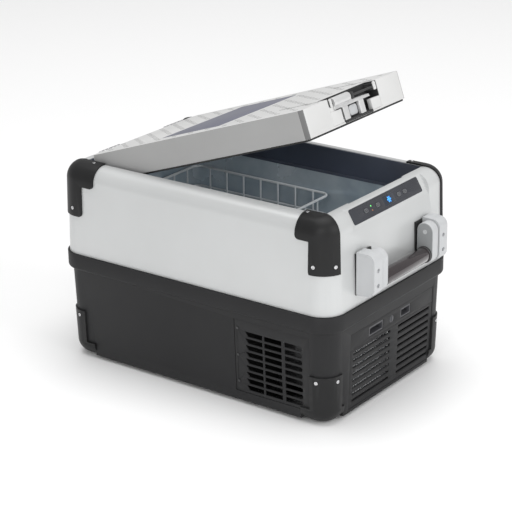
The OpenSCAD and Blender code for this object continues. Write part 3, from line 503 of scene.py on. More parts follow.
@dataclass(frozen=True)
class Finish:
    """One finish: its colours, its gloss and its relief.

    Attributes:
        name: Name of the material.
        tone: Main colour.
        other: Second colour of the slow variation.
        roughness: Middle roughness.
        surface: Kind of relief.
        spread: How much the roughness varies.
        metallic: Metallic share.
        coat: Clear coat weight.
        grain: Grain features in a metre.
        depth: Height of the relief in metres.
        blotch: Slow patches in a metre.
        worn: Colour of rubbed edges.
        wear: How rubbed the edges are.
        dust: How dusty its upper faces are.
        glow: Strength of its light, for lamps.
        sheen_level: Strength of the plain reflection.
    """

    name: str
    tone: Colour
    other: Colour
    roughness: float
    surface: Surface = Surface.MOULDED
    spread: float = 0.08
    metallic: float = 0.0
    coat: float = 0.0
    grain: float = 1400.0
    depth: float = 0.00004
    blotch: float = 6.0
    worn: Colour = (0.5, 0.5, 0.5)
    wear: float = 0.3
    dust: float = 0.03
    glow: float = 0.0
    sheen_level: float = 0.5

    def _place(self, tree: bpy.types.NodeTree, group: bpy.types.NodeTree, **values: object) -> bpy.types.Node:
        """Places a shared group and sets its inputs.

        Args:
            tree: The material's tree.
            group: The group to place.
            values: Inputs by name, as a socket to link or a plain value.

        Returns:
            The group's node.
        """
        node = tree.nodes.new("ShaderNodeGroup")
        node.node_tree = group
        for key, value in values.items():
            if isinstance(value, bpy.types.NodeSocket):
                tree.links.new(value, node.inputs[key])
            elif isinstance(value, tuple):
                node.inputs[key].default_value = (*value, 1)
            else:
                node.inputs[key].default_value = value
        return node

    def material(self, kit: ShaderKit) -> bpy.types.Material:
        """Builds the material.

        Args:
            kit: The shared groups.

        Returns:
            The material.
        """
        made = bpy.data.materials.new(self.name)
        made.use_nodes = True
        tree = made.node_tree
        shader = tree.nodes["Principled BSDF"]
        coords = tree.nodes.new("ShaderNodeTexCoord").outputs["Object"]
        blotch = self._place(tree, kit.blotch, Vector=coords, Scale=self.blotch, Tone=self.tone, Other=self.other)
        wear = self._place(
            tree, kit.wear, Vector=coords, Color=blotch.outputs["Color"], Worn=self.worn, Amount=self.wear
        )
        dust = self._place(tree, kit.dust, Vector=coords, Color=wear.outputs["Color"], Amount=self.dust)
        tree.links.new(dust.outputs["Color"], shader.inputs["Base Color"])
        grain = self._place(tree, kit.grain, Vector=coords, Scale=self.grain)
        rough = tree.nodes.new("ShaderNodeMath")
        rough.operation = "MULTIPLY_ADD"
        rough.inputs[1].default_value = self.spread
        rough.inputs[2].default_value = self.roughness - self.spread / 2
        tree.links.new(blotch.outputs["Mask"], rough.inputs[0])
        tree.links.new(rough.outputs[0], shader.inputs["Roughness"])
        shader.inputs["Metallic"].default_value = self.metallic
        shader.inputs["Coat Weight"].default_value = self.coat
        shader.inputs["Coat Roughness"].default_value = 0.15
        shader.inputs["Specular IOR Level"].default_value = self.sheen_level
        height = grain.outputs["Height"]
        if self.surface is Surface.BRUSHED:
            height = self._place(tree, kit.drawn, Vector=coords, Scale=self.grain).outputs["Height"]
        if self.surface is not Surface.SMOOTH:
            bump = tree.nodes.new("ShaderNodeBump")
            bump.inputs["Strength"].default_value = 1.0
            bump.inputs["Distance"].default_value = self.depth
            tree.links.new(height, bump.inputs["Height"])
            tree.links.new(bump.outputs["Normal"], shader.inputs["Normal"])
        if self.glow:
            tree.links.new(blotch.outputs["Color"], shader.inputs["Emission Color"])
            shader.inputs["Emission Strength"].default_value = self.glow
        return made


SATIN_SILVER = Finish(
    "satin_silver_paint", (0.57, 0.58, 0.58), (0.61, 0.62, 0.62), 0.36, Surface.PAINTED, 0.06,
    metallic=0.2, coat=0.15, grain=900, depth=0.000012, blotch=4, worn=(0.72, 0.72, 0.72), wear=0.25, dust=0.01,
)
HOUSING = Finish(
    "housing_charcoal", (0.015, 0.015, 0.016), (0.020, 0.020, 0.021), 0.5, grain=1500, depth=0.00006,
    worn=(0.06, 0.06, 0.06), wear=0.5, dust=0.0, sheen_level=0.25,
)
ARMOUR = Finish(
    "armour_black", (0.014, 0.014, 0.0145), (0.020, 0.020, 0.0205), 0.42, grain=1300, depth=0.00005,
    worn=(0.05, 0.05, 0.05), wear=0.6, dust=0.0, sheen_level=0.2,
)
RECESS = Finish(
    "recess_blue_black", (0.045, 0.050, 0.068), (0.075, 0.095, 0.14), 0.34, grain=1800, depth=0.00002,
    blotch=3, worn=(0.06, 0.07, 0.09), wear=0.4, coat=0.2,
)
LINER = Finish(
    "liner_blue_grey", (0.42, 0.50, 0.56), (0.78, 0.84, 0.88), 0.26, Surface.BRUSHED, 0.1, metallic=0.35,
    grain=160, depth=0.00003, blotch=9, worn=(0.4, 0.45, 0.5), wear=0.1, dust=0.0,
)
LID_TOP = Finish(
    "lid_light_grey", (0.62, 0.62, 0.615), (0.67, 0.67, 0.665), 0.42, grain=1500, depth=0.00003,
    worn=(0.75, 0.75, 0.75), wear=0.2, dust=0.01,
)
LID_SIDE = Finish(
    "lid_side_grey", (0.33, 0.33, 0.328), (0.36, 0.36, 0.358), 0.45, grain=1500, depth=0.00003,
    worn=(0.5, 0.5, 0.5), wear=0.2,
)
LID_MARK = Finish(
    "lid_mark_grey", (0.22, 0.22, 0.22), (0.28, 0.28, 0.28), 0.5, grain=1500, depth=0.00003, worn=(0.4, 0.4, 0.4),
    wear=0.2,
)
LID_CORNER = Finish(
    "lid_corner_grey", (0.13, 0.13, 0.13), (0.15, 0.15, 0.15), 0.45, grain=1500, depth=0.00003,
    worn=(0.3, 0.3, 0.3), wear=0.2,
)
INLAY = Finish(
    "inlay_blue_grey", (0.13, 0.135, 0.18), (0.16, 0.165, 0.21), 0.5, grain=1200, depth=0.00006,
    worn=(0.3, 0.3, 0.34), wear=0.3,
)
LATCH_SILVER = Finish(
    "latch_silver", (0.62, 0.62, 0.62), (0.68, 0.68, 0.68), 0.32, Surface.PAINTED, metallic=0.35, coat=0.2,
    grain=1000, depth=0.00001, worn=(0.8, 0.8, 0.8), wear=0.3, dust=0.0,
)
LATCH_BLACK = Finish(
    "latch_black", (0.010, 0.010, 0.011), (0.018, 0.018, 0.019), 0.55, grain=1300, depth=0.00004, wear=0.3,
)
HANDLE_GREY = Finish(
    "handle_silver_grey", (0.50, 0.51, 0.52), (0.56, 0.57, 0.58), 0.40, grain=1300, depth=0.00003, metallic=0.1,
    worn=(0.7, 0.7, 0.7), wear=0.3, dust=0.01,
)
# The handle grey painted darker for the arms' inner faces: painted shade; the coarser grain is their own texture.
HANDLE_INNER_SHADE = Finish(
    "handle_inner_painted_shade", (0.27, 0.28, 0.285), (0.31, 0.32, 0.325), 0.45, grain=1100, depth=0.00006,
    worn=(0.5, 0.5, 0.5), wear=0.3, dust=0.0,
)
GRIP = Finish(
    "grip_dark_chrome", (0.030, 0.022, 0.024), (0.045, 0.034, 0.036), 0.1, Surface.PAINTED, 0.03, metallic=0.3,
    coat=0.8, grain=700, depth=0.000006, worn=(0.3, 0.28, 0.28), wear=0.2, dust=0.0,
)
PANEL = Finish(
    "panel_gloss_black", (0.022, 0.024, 0.032), (0.030, 0.033, 0.042), 0.22, Surface.PAINTED, 0.06, coat=0.5,
    grain=800, depth=0.000006, blotch=14, worn=(0.1, 0.1, 0.12), wear=0.2, dust=0.01,
)
WIRE = Finish(
    "wire_white_coat", (0.74, 0.77, 0.79), (0.82, 0.84, 0.85), 0.28, Surface.PAINTED, coat=0.4, grain=600,
    depth=0.00003, worn=(0.9, 0.9, 0.9), wear=0.1, dust=0.0,
)
STEEL = Finish(
    "zinc_steel", (0.56, 0.56, 0.57), (0.66, 0.66, 0.67), 0.26, Surface.BRUSHED, 0.12, metallic=1.0, grain=900,
    depth=0.00002, blotch=60, worn=(0.8, 0.8, 0.8), wear=0.3,
)
DARK_STEEL = Finish(
    "dark_steel", (0.05, 0.05, 0.052), (0.09, 0.09, 0.092), 0.38, metallic=0.8, grain=1200, depth=0.00002,
    worn=(0.4, 0.4, 0.4), wear=0.5,
)
RUBBER = Finish(
    "black_rubber", (0.012, 0.012, 0.012), (0.02, 0.02, 0.02), 0.72, grain=900, depth=0.00008, worn=(0.05, 0.05, 0.05),
)
FOAM = Finish(
    "rigid_foam", (0.010, 0.010, 0.010), (0.016, 0.016, 0.015), 0.85, Surface.FOAM, grain=500, depth=0.0003,
    worn=(0.02, 0.02, 0.02), sheen_level=0.1,
)
ALUMINIUM = Finish(
    "rolled_aluminium", (0.68, 0.69, 0.70), (0.74, 0.75, 0.76), 0.3, Surface.BRUSHED, 0.1, metallic=1.0, grain=500,
    depth=0.00002, blotch=30, worn=(0.85, 0.85, 0.85),
)
LENS = Finish(
    "frosted_lens", (0.78, 0.82, 0.84), (0.86, 0.89, 0.9), 0.35, Surface.PAINTED, coat=0.3, grain=800, depth=0.00003,
    worn=(0.9, 0.9, 0.9),
)
DISPLAY = Finish(
    "display_smoked", (0.012, 0.018, 0.030), (0.016, 0.024, 0.04), 0.16, Surface.PAINTED, 0.03, coat=0.6,
    grain=600, depth=0.000004, wear=0.0,
)
KEY = Finish(
    "key_dark_grey", (0.045, 0.046, 0.052), (0.055, 0.056, 0.063), 0.38, grain=1600, depth=0.00002,
    worn=(0.2, 0.2, 0.2), wear=0.4,
)
GREEN_LAMP = Finish(
    "lamp_green", (0.10, 0.62, 0.14), (0.16, 0.75, 0.2), 0.3, Surface.PAINTED, grain=900, depth=0.00001, glow=0.9,
    wear=0.0, dust=0.0,
)
ORANGE_LAMP = Finish(
    "lamp_orange", (0.30, 0.10, 0.05), (0.36, 0.14, 0.07), 0.3, Surface.PAINTED, grain=900, depth=0.00001, glow=0.25,
    wear=0.0, dust=0.0,
)
BLUE_LIGHT = Finish(
    "display_blue_light", (0.05, 0.30, 0.85), (0.08, 0.38, 0.95), 0.3, Surface.PAINTED, grain=900, depth=0.00001,
    glow=1.1, wear=0.0, dust=0.0,
)
PRINT = Finish(
    "panel_print_grey", (0.20, 0.21, 0.22), (0.25, 0.26, 0.27), 0.45, grain=1200, depth=0.00001, wear=0.0, dust=0.0,
)
BOARD = Finish(
    "board_green", (0.015, 0.11, 0.05), (0.02, 0.15, 0.07), 0.35, Surface.PAINTED, coat=0.3, grain=700,
    depth=0.00002, worn=(0.5, 0.45, 0.2),
)
ENAMEL = Finish(
    "compressor_enamel", (0.015, 0.015, 0.016), (0.022, 0.022, 0.023), 0.28, Surface.PAINTED, coat=0.3, grain=300,
    depth=0.00008, worn=(0.2, 0.2, 0.2), wear=0.4,
)

SLOT_FINISH = {
    "case_paint": SATIN_SILVER, "housing_plastic": HOUSING, "steel": STEEL, "recess_plastic": RECESS,
    "liner_plastic": LINER, "foam": FOAM, "cold_plate": ALUMINIUM, "light_lens": LENS, "basket_wire": WIRE,
    "lid_plastic": LID_TOP, "rubber_black": RUBBER, "inlay_plate": INLAY, "latch_black": LATCH_BLACK,
    "latch_silver": LATCH_SILVER, "panel_gloss": PANEL, "display_glass": DISPLAY, "button_grey": KEY,
    "led_lens": GREEN_LAMP, "circuit_board": BOARD, "armour_black": ARMOUR, "screw_steel": STEEL,
    "dark_screw": DARK_STEEL, "bracket_grey": HANDLE_GREY, "grip_chrome": GRIP, "inlet_plastic": KEY,
    "compressor_paint": ENAMEL, "fan_plastic": ARMOUR,
}


class Workshop:
    """Makes finishes once, dresses pieces with them and ties each piece to its body."""

    def __init__(self) -> None:
        """Reads the record's slots and bodies."""
        self.kit = ShaderKit()
        self.made: dict = {}
        record = frame["record"]
        self.slot_of = {s["node"]: s["material_slot"] for s in record["subparts"]}
        self.body_of = {n: body for body, nodes in record["behaviour"]["bodies"].items() for n in nodes}
        self.joints = {j["name"]: j for j in record["behaviour"]["joints"]}

    def paint(self, finish: Finish) -> bpy.types.Material:
        """Gives the finish's material, built the first time.

        Args:
            finish: The finish.

        Returns:
            Its material.
        """
        if finish.name not in self.made:
            self.made[finish.name] = finish.material(self.kit)
        return self.made[finish.name]

    def dress_frame(self) -> None:
        """Gives every CAD node its finish."""
        for node, obj in frame["nodes"].items():
            obj.data.materials.clear()
            obj.data.materials.append(self.paint(SLOT_FINISH[self.slot_of[node]]))

    def mount(
        self,
        obj: bpy.types.Object,
        name: str,
        like: str,
        finish: Optional[Finish] = None,
        stands_for: Sequence[str] = (),
    ) -> bpy.types.Object:
        """Names a piece, dresses it and ties it to the body of a CAD node.

        Args:
            obj: The piece.
            name: Its name.
            like: The CAD node whose body and slot it takes.
            finish: Its finish, or none to keep the materials that it has.
            stands_for: The CAD nodes that it replaces.

        Returns:
            The piece.
        """
        obj.name = obj.data.name = name
        if finish is not None:
            obj.data.materials.clear()
            obj.data.materials.append(self.paint(finish))
        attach(obj, self.body_of[like])
        if stands_for:
            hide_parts(*stands_for)
        log.info("%s: %d faces, rides on %s", name, len(obj.data.polygons), self.body_of[like])
        return obj

    def cast_piece(
        self, node: str, width: float, segments: int = 3, finish: Optional[Finish] = None, pierced: bool = False
    ) -> bpy.types.Object:
        """Makes a softened piece from a CAD node and puts it in the node's place.

        Args:
            node: The CAD node.
            width: Rounding of its edges in metres.
            segments: Faces across the rounding.
            finish: Its finish, or none for its slot's.
            pierced: Whether its flats have many holes.

        Returns:
            The piece.
        """
        obj = soften(cast(node, pierced), width, segments)
        return self.mount(obj, node + "_soft", node, finish or SLOT_FINISH[self.slot_of[node]], [node])


# ---- sub-assemblies ----


@dataclass
class Cabinet:
    """Case, housing, recess and the vents."""

    shop: Workshop
    edge: float = 0.9 * MM
    vent_edge: float = 0.45 * MM

    def build(self) -> None:
        """Makes the case, the housing and the vents."""
        self.shop.cast_piece("outer_case", self.edge, 3)
        self.shop.cast_piece("lower_housing", self.edge, 2)
        self.shop.cast_piece("recess_frame", 0.6 * MM, 2)
        self.shop.cast_piece("food_liner", 1.5 * MM, 3)
        for node in ("side_grille", "end_louvres", "socket_panel"):
            self.shop.cast_piece(node, self.vent_edge, 2, pierced=True)
        for node in ("ac_inlet", "dc_inlet", "fuse_cap"):
            self.shop.cast_piece(node, 0.5 * MM, 2)


@dataclass
class Armour:
    """Corner caps, feet, pads and their screws."""

    shop: Workshop
    edge: float = 1.3 * MM
    round_corner: float = 8 * MM

    def build(self) -> None:
        """Makes the four corners and the screws."""
        for front in ("front", "rear"):
            for side in ("right", "left"):
                self._cap(f"cap_{front}_{side}")
                self.shop.cast_piece(f"foot_{front}_{side}", self.edge, 4)
        for node in ("cap_screws", "foot_screws", "grille_screws"):
            self.shop.cast_piece(node, 0.25 * MM, 2)
        self.shop.cast_piece("foot_pads", 0.6 * MM, 3)

    def _cap(self, node: str) -> None:
        """Makes a cap with round corners on its lobe and at its lower edge.

        Args:
            node: Its CAD node.
        """
        obj = cast(node)
        low, high = (Vector(corner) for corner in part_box(node))
        middle = (low + high) / 2
        side, end = math.copysign(1, middle.y), math.copysign(1, middle.x)
        inner = low.x if end > 0 else high.x
        lobe_z = min(v.co.z for v in obj.data.vertices if abs(v.co.x - inner) < 0.1 * MM)

        def corner(place: Vector, run: Vector) -> bool:
            """Tells the short edges through the wall at the lobe's and the strip's low corners."""
            if abs(run.y) < 0.9 or abs(place.y) < abs(middle.y):
                return False
            at_lobe = abs(place.x - inner) < 0.2 * MM and place.z < lobe_z + 1 * MM
            at_strip = place.z < low.z + 1 * MM and (place.x - middle.x) * end < 0
            return at_lobe or at_strip

        found = choose(obj, Part.EDGES, corner)
        if found:
            bpy.ops.mesh.bevel(offset=self.round_corner, segments=8)
        done()
        soften(obj, self.edge, 4)
        self.shop.mount(obj, node + "_soft", node, ARMOUR, [node])


@dataclass
class Handles:
    """The two drop-down carry handles."""

    shop: Workshop
    edge: float = 2.0 * MM
    border: float = 3.0 * MM
    seam: float = 1.4 * MM
    collar: float = 4.0 * MM

    def build(self) -> None:
        """Makes brackets, arms, tubes and collars for both ends."""
        for end in ("right", "left"):
            self._bracket("handle_brackets_" + end)
            self._arm("handle_arms_" + end)
            self._grip(end)
            self.shop.cast_piece("handle_pins_" + end, 0.4 * MM, 2)
        # Black base plates behind the brackets: a mounting plate, and the rim that shows beside and below each bracket
        # is painted shadow of the bracket on the case.
        self.shop.cast_piece("handle_base_plates", 1.2 * MM, 3)

    def _bracket(self, node: str) -> None:
        """Makes a pair of fixed brackets with a shallow panel on the outer side.

        Args:
            node: Their CAD node.
        """
        obj = cast(node)
        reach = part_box(node)[1][1]

        def cover(middle: Vector, normal: Vector) -> bool:
            """Tells the flat outer sides."""
            return abs(normal.y) > 0.98 and abs(abs(middle.y) - reach) < 0.3 * MM

        press_in(obj, cover, self.border, 0.0)
        press_in(obj, lambda c, n: cover(c, n) and self._inner(obj, c), 0.5 * MM, 0.5 * MM)
        soften(obj, self.edge, 4)
        self.shop.mount(obj, node + "_soft", node, HANDLE_GREY, [node])

    @staticmethod
    def _inner(obj: bpy.types.Object, middle: Vector) -> bool:
        """Tells whether a face is the large one of an inset side."""
        areas = [p.area for p in obj.data.polygons if (p.center - middle).length < 1e-6]
        return bool(areas) and max(areas) > 1e-3

    def _arm(self, node: str) -> None:
        """Makes a pair of swinging arms, with painted shade on their inner faces.

        Args:
            node: Their CAD node.
        """
        arm = cast(node)
        low, high = (Vector(corner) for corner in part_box(node))
        for side in (-1, 1):
            choose(arm, Part.POINTS, lambda c, n: c.y * side > high.y - 0.1 * MM)
            bpy.ops.transform.translate(value=(0, -side * self.seam, 0))
            done()
        soften(arm, self.edge, 4)
        arm.data.materials.append(self.shop.paint(HANDLE_GREY))
        arm.data.materials.append(self.shop.paint(HANDLE_INNER_SHADE))
        # Faces turned towards the cooler's middle get the darker grey: painted shade on the arms' inner sides.
        for face in arm.data.polygons:
            if abs(face.normal.y) > 0.9 and face.normal.y * face.center.y < 0:
                face.material_index = 1
        self.shop.mount(arm, node + "_soft", node, None, [node])
        pin = Vector(self.shop.joints["bail_" + node.split("_")[-1] + "_swing"]["pos_m"])
        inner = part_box(node.replace("handle_arms", "grip"))[1][1]
        dots = []
        for side in (-1, 1):
            dot = rod((pin.x, side * (inner - 0.9 * MM), pin.z), (pin.x, side * (inner + 1 * MM), pin.z), 4.2 * MM, 32)
            press_in(dot, lambda c, n: n.y * side < -0.9, 1.0 * MM, 0.4 * MM)
            dots.append(soften(dot, 0.4 * MM, 3))
        self.shop.mount(join(dots), node + "_pivot_caps", node, HANDLE_GREY)

    def _grip(self, end: str) -> None:
        """Makes the tube and its two collars.

        Args:
            end: Which end, right or left.
        """
        node = "grip_" + end
        low, high = (Vector(corner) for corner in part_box(node))
        middle, radius = (low + high) / 2, (high.z - low.z) / 2
        tube = rod((middle.x, low.y, middle.z), (middle.x, high.y, middle.z), radius, 64)
        press_in(tube, lambda c, n: abs(n.y) > 0.9, 2.5 * MM, 1.5 * MM)
        soften(tube, 0.6 * MM, 3)
        self.shop.mount(tube, node + "_tube", node, GRIP, [node])
        rings = []
        for side in (-1, 1):
            outer = high.y if side > 0 else low.y
            ring = rod((middle.x, outer - side * self.collar, middle.z), (middle.x, outer, middle.z), radius + 1.6 * MM, 64)
            press_in(ring, lambda c, n: n.y * side < -0.9, 1.0 * MM, -0.8 * MM)
            rings.append(soften(ring, 0.7 * MM, 3))
        self.shop.mount(join(rings), node + "_collars", node, LATCH_BLACK)


@dataclass
class ControlPanel:
    """Panel, display, keys, lamps and their generic symbols."""

    shop: Workshop
    line: float = 0.9 * MM
    lift: float = 0.15 * MM

    def _plane(self) -> Matrix:
        """Gives the panel's plane: its middle, X across the cooler, Y up the slope, Z outwards.

        Returns:
            A matrix from the plane to the cooler.
        """
        low, high = (Vector(c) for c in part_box("control_panel"))
        slope = Vector(self.shop.joints["power_press"]["axis"]).normalized() * -1
        across = Vector((0, 1, 0))
        up = slope.cross(across).normalized()
        corner = max(
            (v.co for v in frame["nodes"]["control_panel"].data.vertices), key=lambda co: co.dot(slope)
        )
        middle = (low + high) / 2
        origin = middle + slope * (corner.dot(slope) - middle.dot(slope))
        turn = Matrix((across, up, slope)).transposed().to_4x4()
        return Matrix.Translation(origin) @ turn

    def _ring(self, size: float, tall: float, line: float, corner: float) -> bpy.types.Object:
        """Makes a flat rounded ring round the origin, lying in XY.

        Args:
            size: Width.
            tall: Height.
            line: Width of the line.
            corner: Radius of its corners.

        Returns:
            The ring.
        """
        bpy.ops.object.select_all(action="DESELECT")
        bpy.ops.mesh.primitive_plane_add(size=1)
        obj = bpy.context.active_object
        obj.scale = (size, tall, 1)
        settle(obj)
        choose(obj, Part.POINTS, lambda c, n: True)
        bpy.ops.mesh.bevel(offset=corner, segments=6, affect="VERTICES")
        done()
        choose(obj, Part.FACES, lambda c, n: True)
        bpy.ops.mesh.inset(thickness=line)
        bpy.ops.mesh.delete(type="FACE")
        done()
        finish_with(obj, "SOLIDIFY", thickness=0.3 * MM, offset=1)
        return obj

    def _bar(self, x: float, y: float, length: float, turn: float, line: float) -> bpy.types.Object:
        """Makes a short bar with soft ends in the plane.

        Args:
            x: Middle across.
            y: Middle up.
            length: Length.
            turn: Angle in degrees.
            line: Width.

        Returns:
            The bar.
        """
        obj = block((-length / 2, -line / 2, 0), (length / 2, line / 2, 0.3 * MM))
        choose(obj, Part.EDGES, lambda c, d: abs(d.z) > 0.9)
        bpy.ops.mesh.bevel(offset=line * 0.45, segments=3)
        done()
        return move_mesh(obj, Matrix.Translation((x, y, 0)) @ Matrix.Rotation(math.radians(turn), 4, "Z"))

    def build(self) -> None:
        """Makes the panel, the keys and the symbols."""
        self.shop.cast_piece("control_panel", 0.5 * MM, 3)
        self.shop.cast_piece("display_window", 0.25 * MM, 2)
        for key in ("power", "set", "up", "down"):
            self.shop.cast_piece("button_" + key, 0.3 * MM, 2)
        self._lamps()
        self._symbols()

    def _lamps(self) -> None:
        """Makes the two status lamps, green and orange."""
        obj = soften(cast("status_leds"), 0.4 * MM, 3)
        plane = self._plane()
        inverse = plane.inverted()
        obj.data.materials.append(self.shop.paint(GREEN_LAMP))
        obj.data.materials.append(self.shop.paint(ORANGE_LAMP))
        for face in obj.data.polygons:
            face.material_index = 0 if (inverse @ face.center).y > 0 else 1
        self.shop.mount(obj, "status_leds_soft", "status_leds", None, ["status_leds"])

    def _symbols(self) -> None:
        """Makes the generic symbols on the keys and the snow crystal in the display."""
        plane = self._plane()
        inverse = plane.inverted()

        def middle(node: str) -> Vector:
            """Middle of a node's front in the plane's own axes."""
            points = [inverse @ v.co for v in frame["nodes"][node].data.vertices]
            top = max(p.z for p in points)
            return Vector((
                (min(p.x for p in points) + max(p.x for p in points)) / 2,
                (min(p.y for p in points) + max(p.y for p in points)) / 2,
                top,
            ))

        for key in ("power", "set", "up", "down"):
            at = middle("button_" + key)
            parts = [self._ring(10.6 * MM, 6.6 * MM, 0.6 * MM, 3.0 * MM)]
            if key == "power":
                parts += [self._bar(0, 1.0 * MM, 2.6 * MM, 90, self.line)]
            elif key == "set":
                parts += [self._bar(0, s * 0.9 * MM, 3.6 * MM, 0, 0.6 * MM) for s in (-1, 1)]
            else:
                s = 1 if key == "up" else -1
                parts += [self._bar(t * 0.9 * MM, 0, 2.6 * MM, -t * s * 40, 0.7 * MM) for t in (-1, 1)]
            obj = move_mesh(join(parts), plane @ Matrix.Translation(at + Vector((0, 0, -0.05 * MM))))
            self.shop.mount(obj, key + "_key_symbol", "button_" + key, PRINT)
        at = middle("display_window")
        arms = []
        for turn in (0, 60, 120):
            arms.append(self._bar(0, 0, 12.0 * MM, turn, 1.1 * MM))
        for turn in range(0, 360, 60):
            a = math.radians(turn)
            for t in (-1, 1):
                arms.append(
                    self._bar(4.1 * MM * math.cos(a), 4.1 * MM * math.sin(a), 3.2 * MM, turn + t * 50, 0.9 * MM)
                )
        obj = move_mesh(join(arms), plane @ Matrix.Translation(at + Vector((0, 0, 0.02 * MM))))
        self.shop.mount(obj, "display_snow_crystal", "display_window", BLUE_LIGHT)


@dataclass
class Lid:
    """Lid shell with its bands, inlay, anti-slip marks and the painted shade of two grooves."""

    shop: Workshop
    mark_length: float = 11 * MM
    mark_width: float = 2.2 * MM
    pitch_x: float = 40 * MM
    pitch_y: float = 38 * MM
    turn: Matrix = field(init=False)

    def __post_init__(self) -> None:
        """Works out how the open lid stands from its joint."""
        joint = self.shop.joints["lid_hinge"]
        pin = Vector(joint["pos_m"])
        angle = math.radians(-joint["range_deg"][0])
        self.turn = Matrix.Translation(pin) @ Matrix.Rotation(-angle, 4, "Y") @ Matrix.Translation(-pin)

    def shut_box(self, node: str) -> Tuple[Vector, Vector]:
        """Gives the corners of a lid node as it lies when shut.

        Args:
            node: The node.

        Returns:
            Lowest and highest corner.
        """
        back = self.turn.inverted()
        points = [back @ v.co for v in frame["nodes"][node].data.vertices]
        low = Vector([min(p[i] for p in points) for i in range(3)])
        high = Vector([max(p[i] for p in points) for i in range(3)])
        return low, high

    def build(self) -> None:
        """Makes the shell, its inner parts, the inlay and the marks."""
        self._shell()
        for node, edge in (("lid_liner", 1.2), ("lid_seal", 0.8), ("lid_inlay", 0.3)):
            self.shop.cast_piece(node, edge * MM, 3)
        for node in ("lid_hinge_leaves", "case_hinge_leaves", "hinge_pins", "strike_plate"):
            self.shop.cast_piece(node, 0.3 * MM, 2)
        self._marks()
        self._groove_painted_shade()

    def _shell(self) -> None:
        """Makes the shell with darker side bands and corners."""
        obj = soften(cast("lid_shell"), 1.2 * MM, 3)
        for finish in (LID_TOP, LID_SIDE, LID_CORNER):
            obj.data.materials.append(self.shop.paint(finish))
        back = self.turn.inverted().to_3x3()
        low, high = self.shut_box("lid_shell")
        reach = high.y - 0.5 * MM
        inverse = self.turn.inverted()
        for face in obj.data.polygons:
            normal = back @ face.normal
            place = inverse @ face.center
            outer = abs(place.y) > high.y - 11 * MM
            if abs(normal.z) < 0.5 and outer:
                if abs(normal.y) > 0.93 and abs(place.y) > reach:
                    face.material_index = 1
                elif 0.25 < abs(normal.y) and place.x > high.x - 12 * MM:
                    face.material_index = 2
        self.shop.mount(obj, "lid_shell_soft", "lid_shell", None, ["lid_shell"])

    def _marks(self) -> None:
        """Makes the raised anti-slip bars, set in a staggered lattice round the inlay."""
        low, high = self.shut_box("lid_shell")
        inlay_low, inlay_high = self.shut_box("lid_inlay")
        top = high.z
        first = block((-self.mark_length / 2, -self.mark_width / 2, -0.3 * MM), (self.mark_length / 2, self.mark_width / 2, 0.3 * MM))
        choose(first, Part.EDGES, lambda c, d: abs(d.z) > 0.9)
        bpy.ops.mesh.bevel(offset=self.mark_width * 0.3, segments=2)
        done()
        copies = []
        margin = 13 * MM
        columns = int((high.x - low.x - 2 * margin) / (self.pitch_x / 2))
        for i in range(columns + 1):
            x = low.x + margin + i * self.pitch_x / 2
            rows = int((high.y - margin) / self.pitch_y) + 1
            for j in range(-rows, rows + 1):
                y = (j + 0.5 * (i % 2)) * self.pitch_y
                if abs(y) > high.y - margin:
                    continue
                if inlay_low.x - margin < x < inlay_high.x + margin and abs(y) < inlay_high.y + 6 * MM:
                    continue
                if x > high.x - 30 * MM and abs(y) < 84 * MM:
                    continue
                copies.append(again(first, self.turn @ Matrix.Translation((x, y, top))))
        bpy.data.objects.remove(first)
        obj = join(copies)
        smooth(obj)
        self.shop.mount(obj, "lid_antislip_bars", "lid_shell", LID_MARK)

    def _groove_painted_shade(self) -> None:
        """Makes two dark strips near the latch end of the lid's top: painted shade in place of two grooves."""
        low, high = self.shut_box("lid_shell")
        lines = []
        for side in (-1, 1):
            y = side * 84 * MM
            # Each strip sits a hair above the top and is coloured dark as the groove's painted shade.
            line = block((high.x - 99 * MM, y - 1 * MM, high.z - 0.2 * MM), (high.x - 12 * MM, y + 1 * MM, high.z + 0.35 * MM))
            lines.append(soften(line, 0.3 * MM, 2))
        obj = move_mesh(join(lines), self.turn)
        self.shop.mount(obj, "lid_groove_painted_shade", "lid_shell", LID_CORNER)


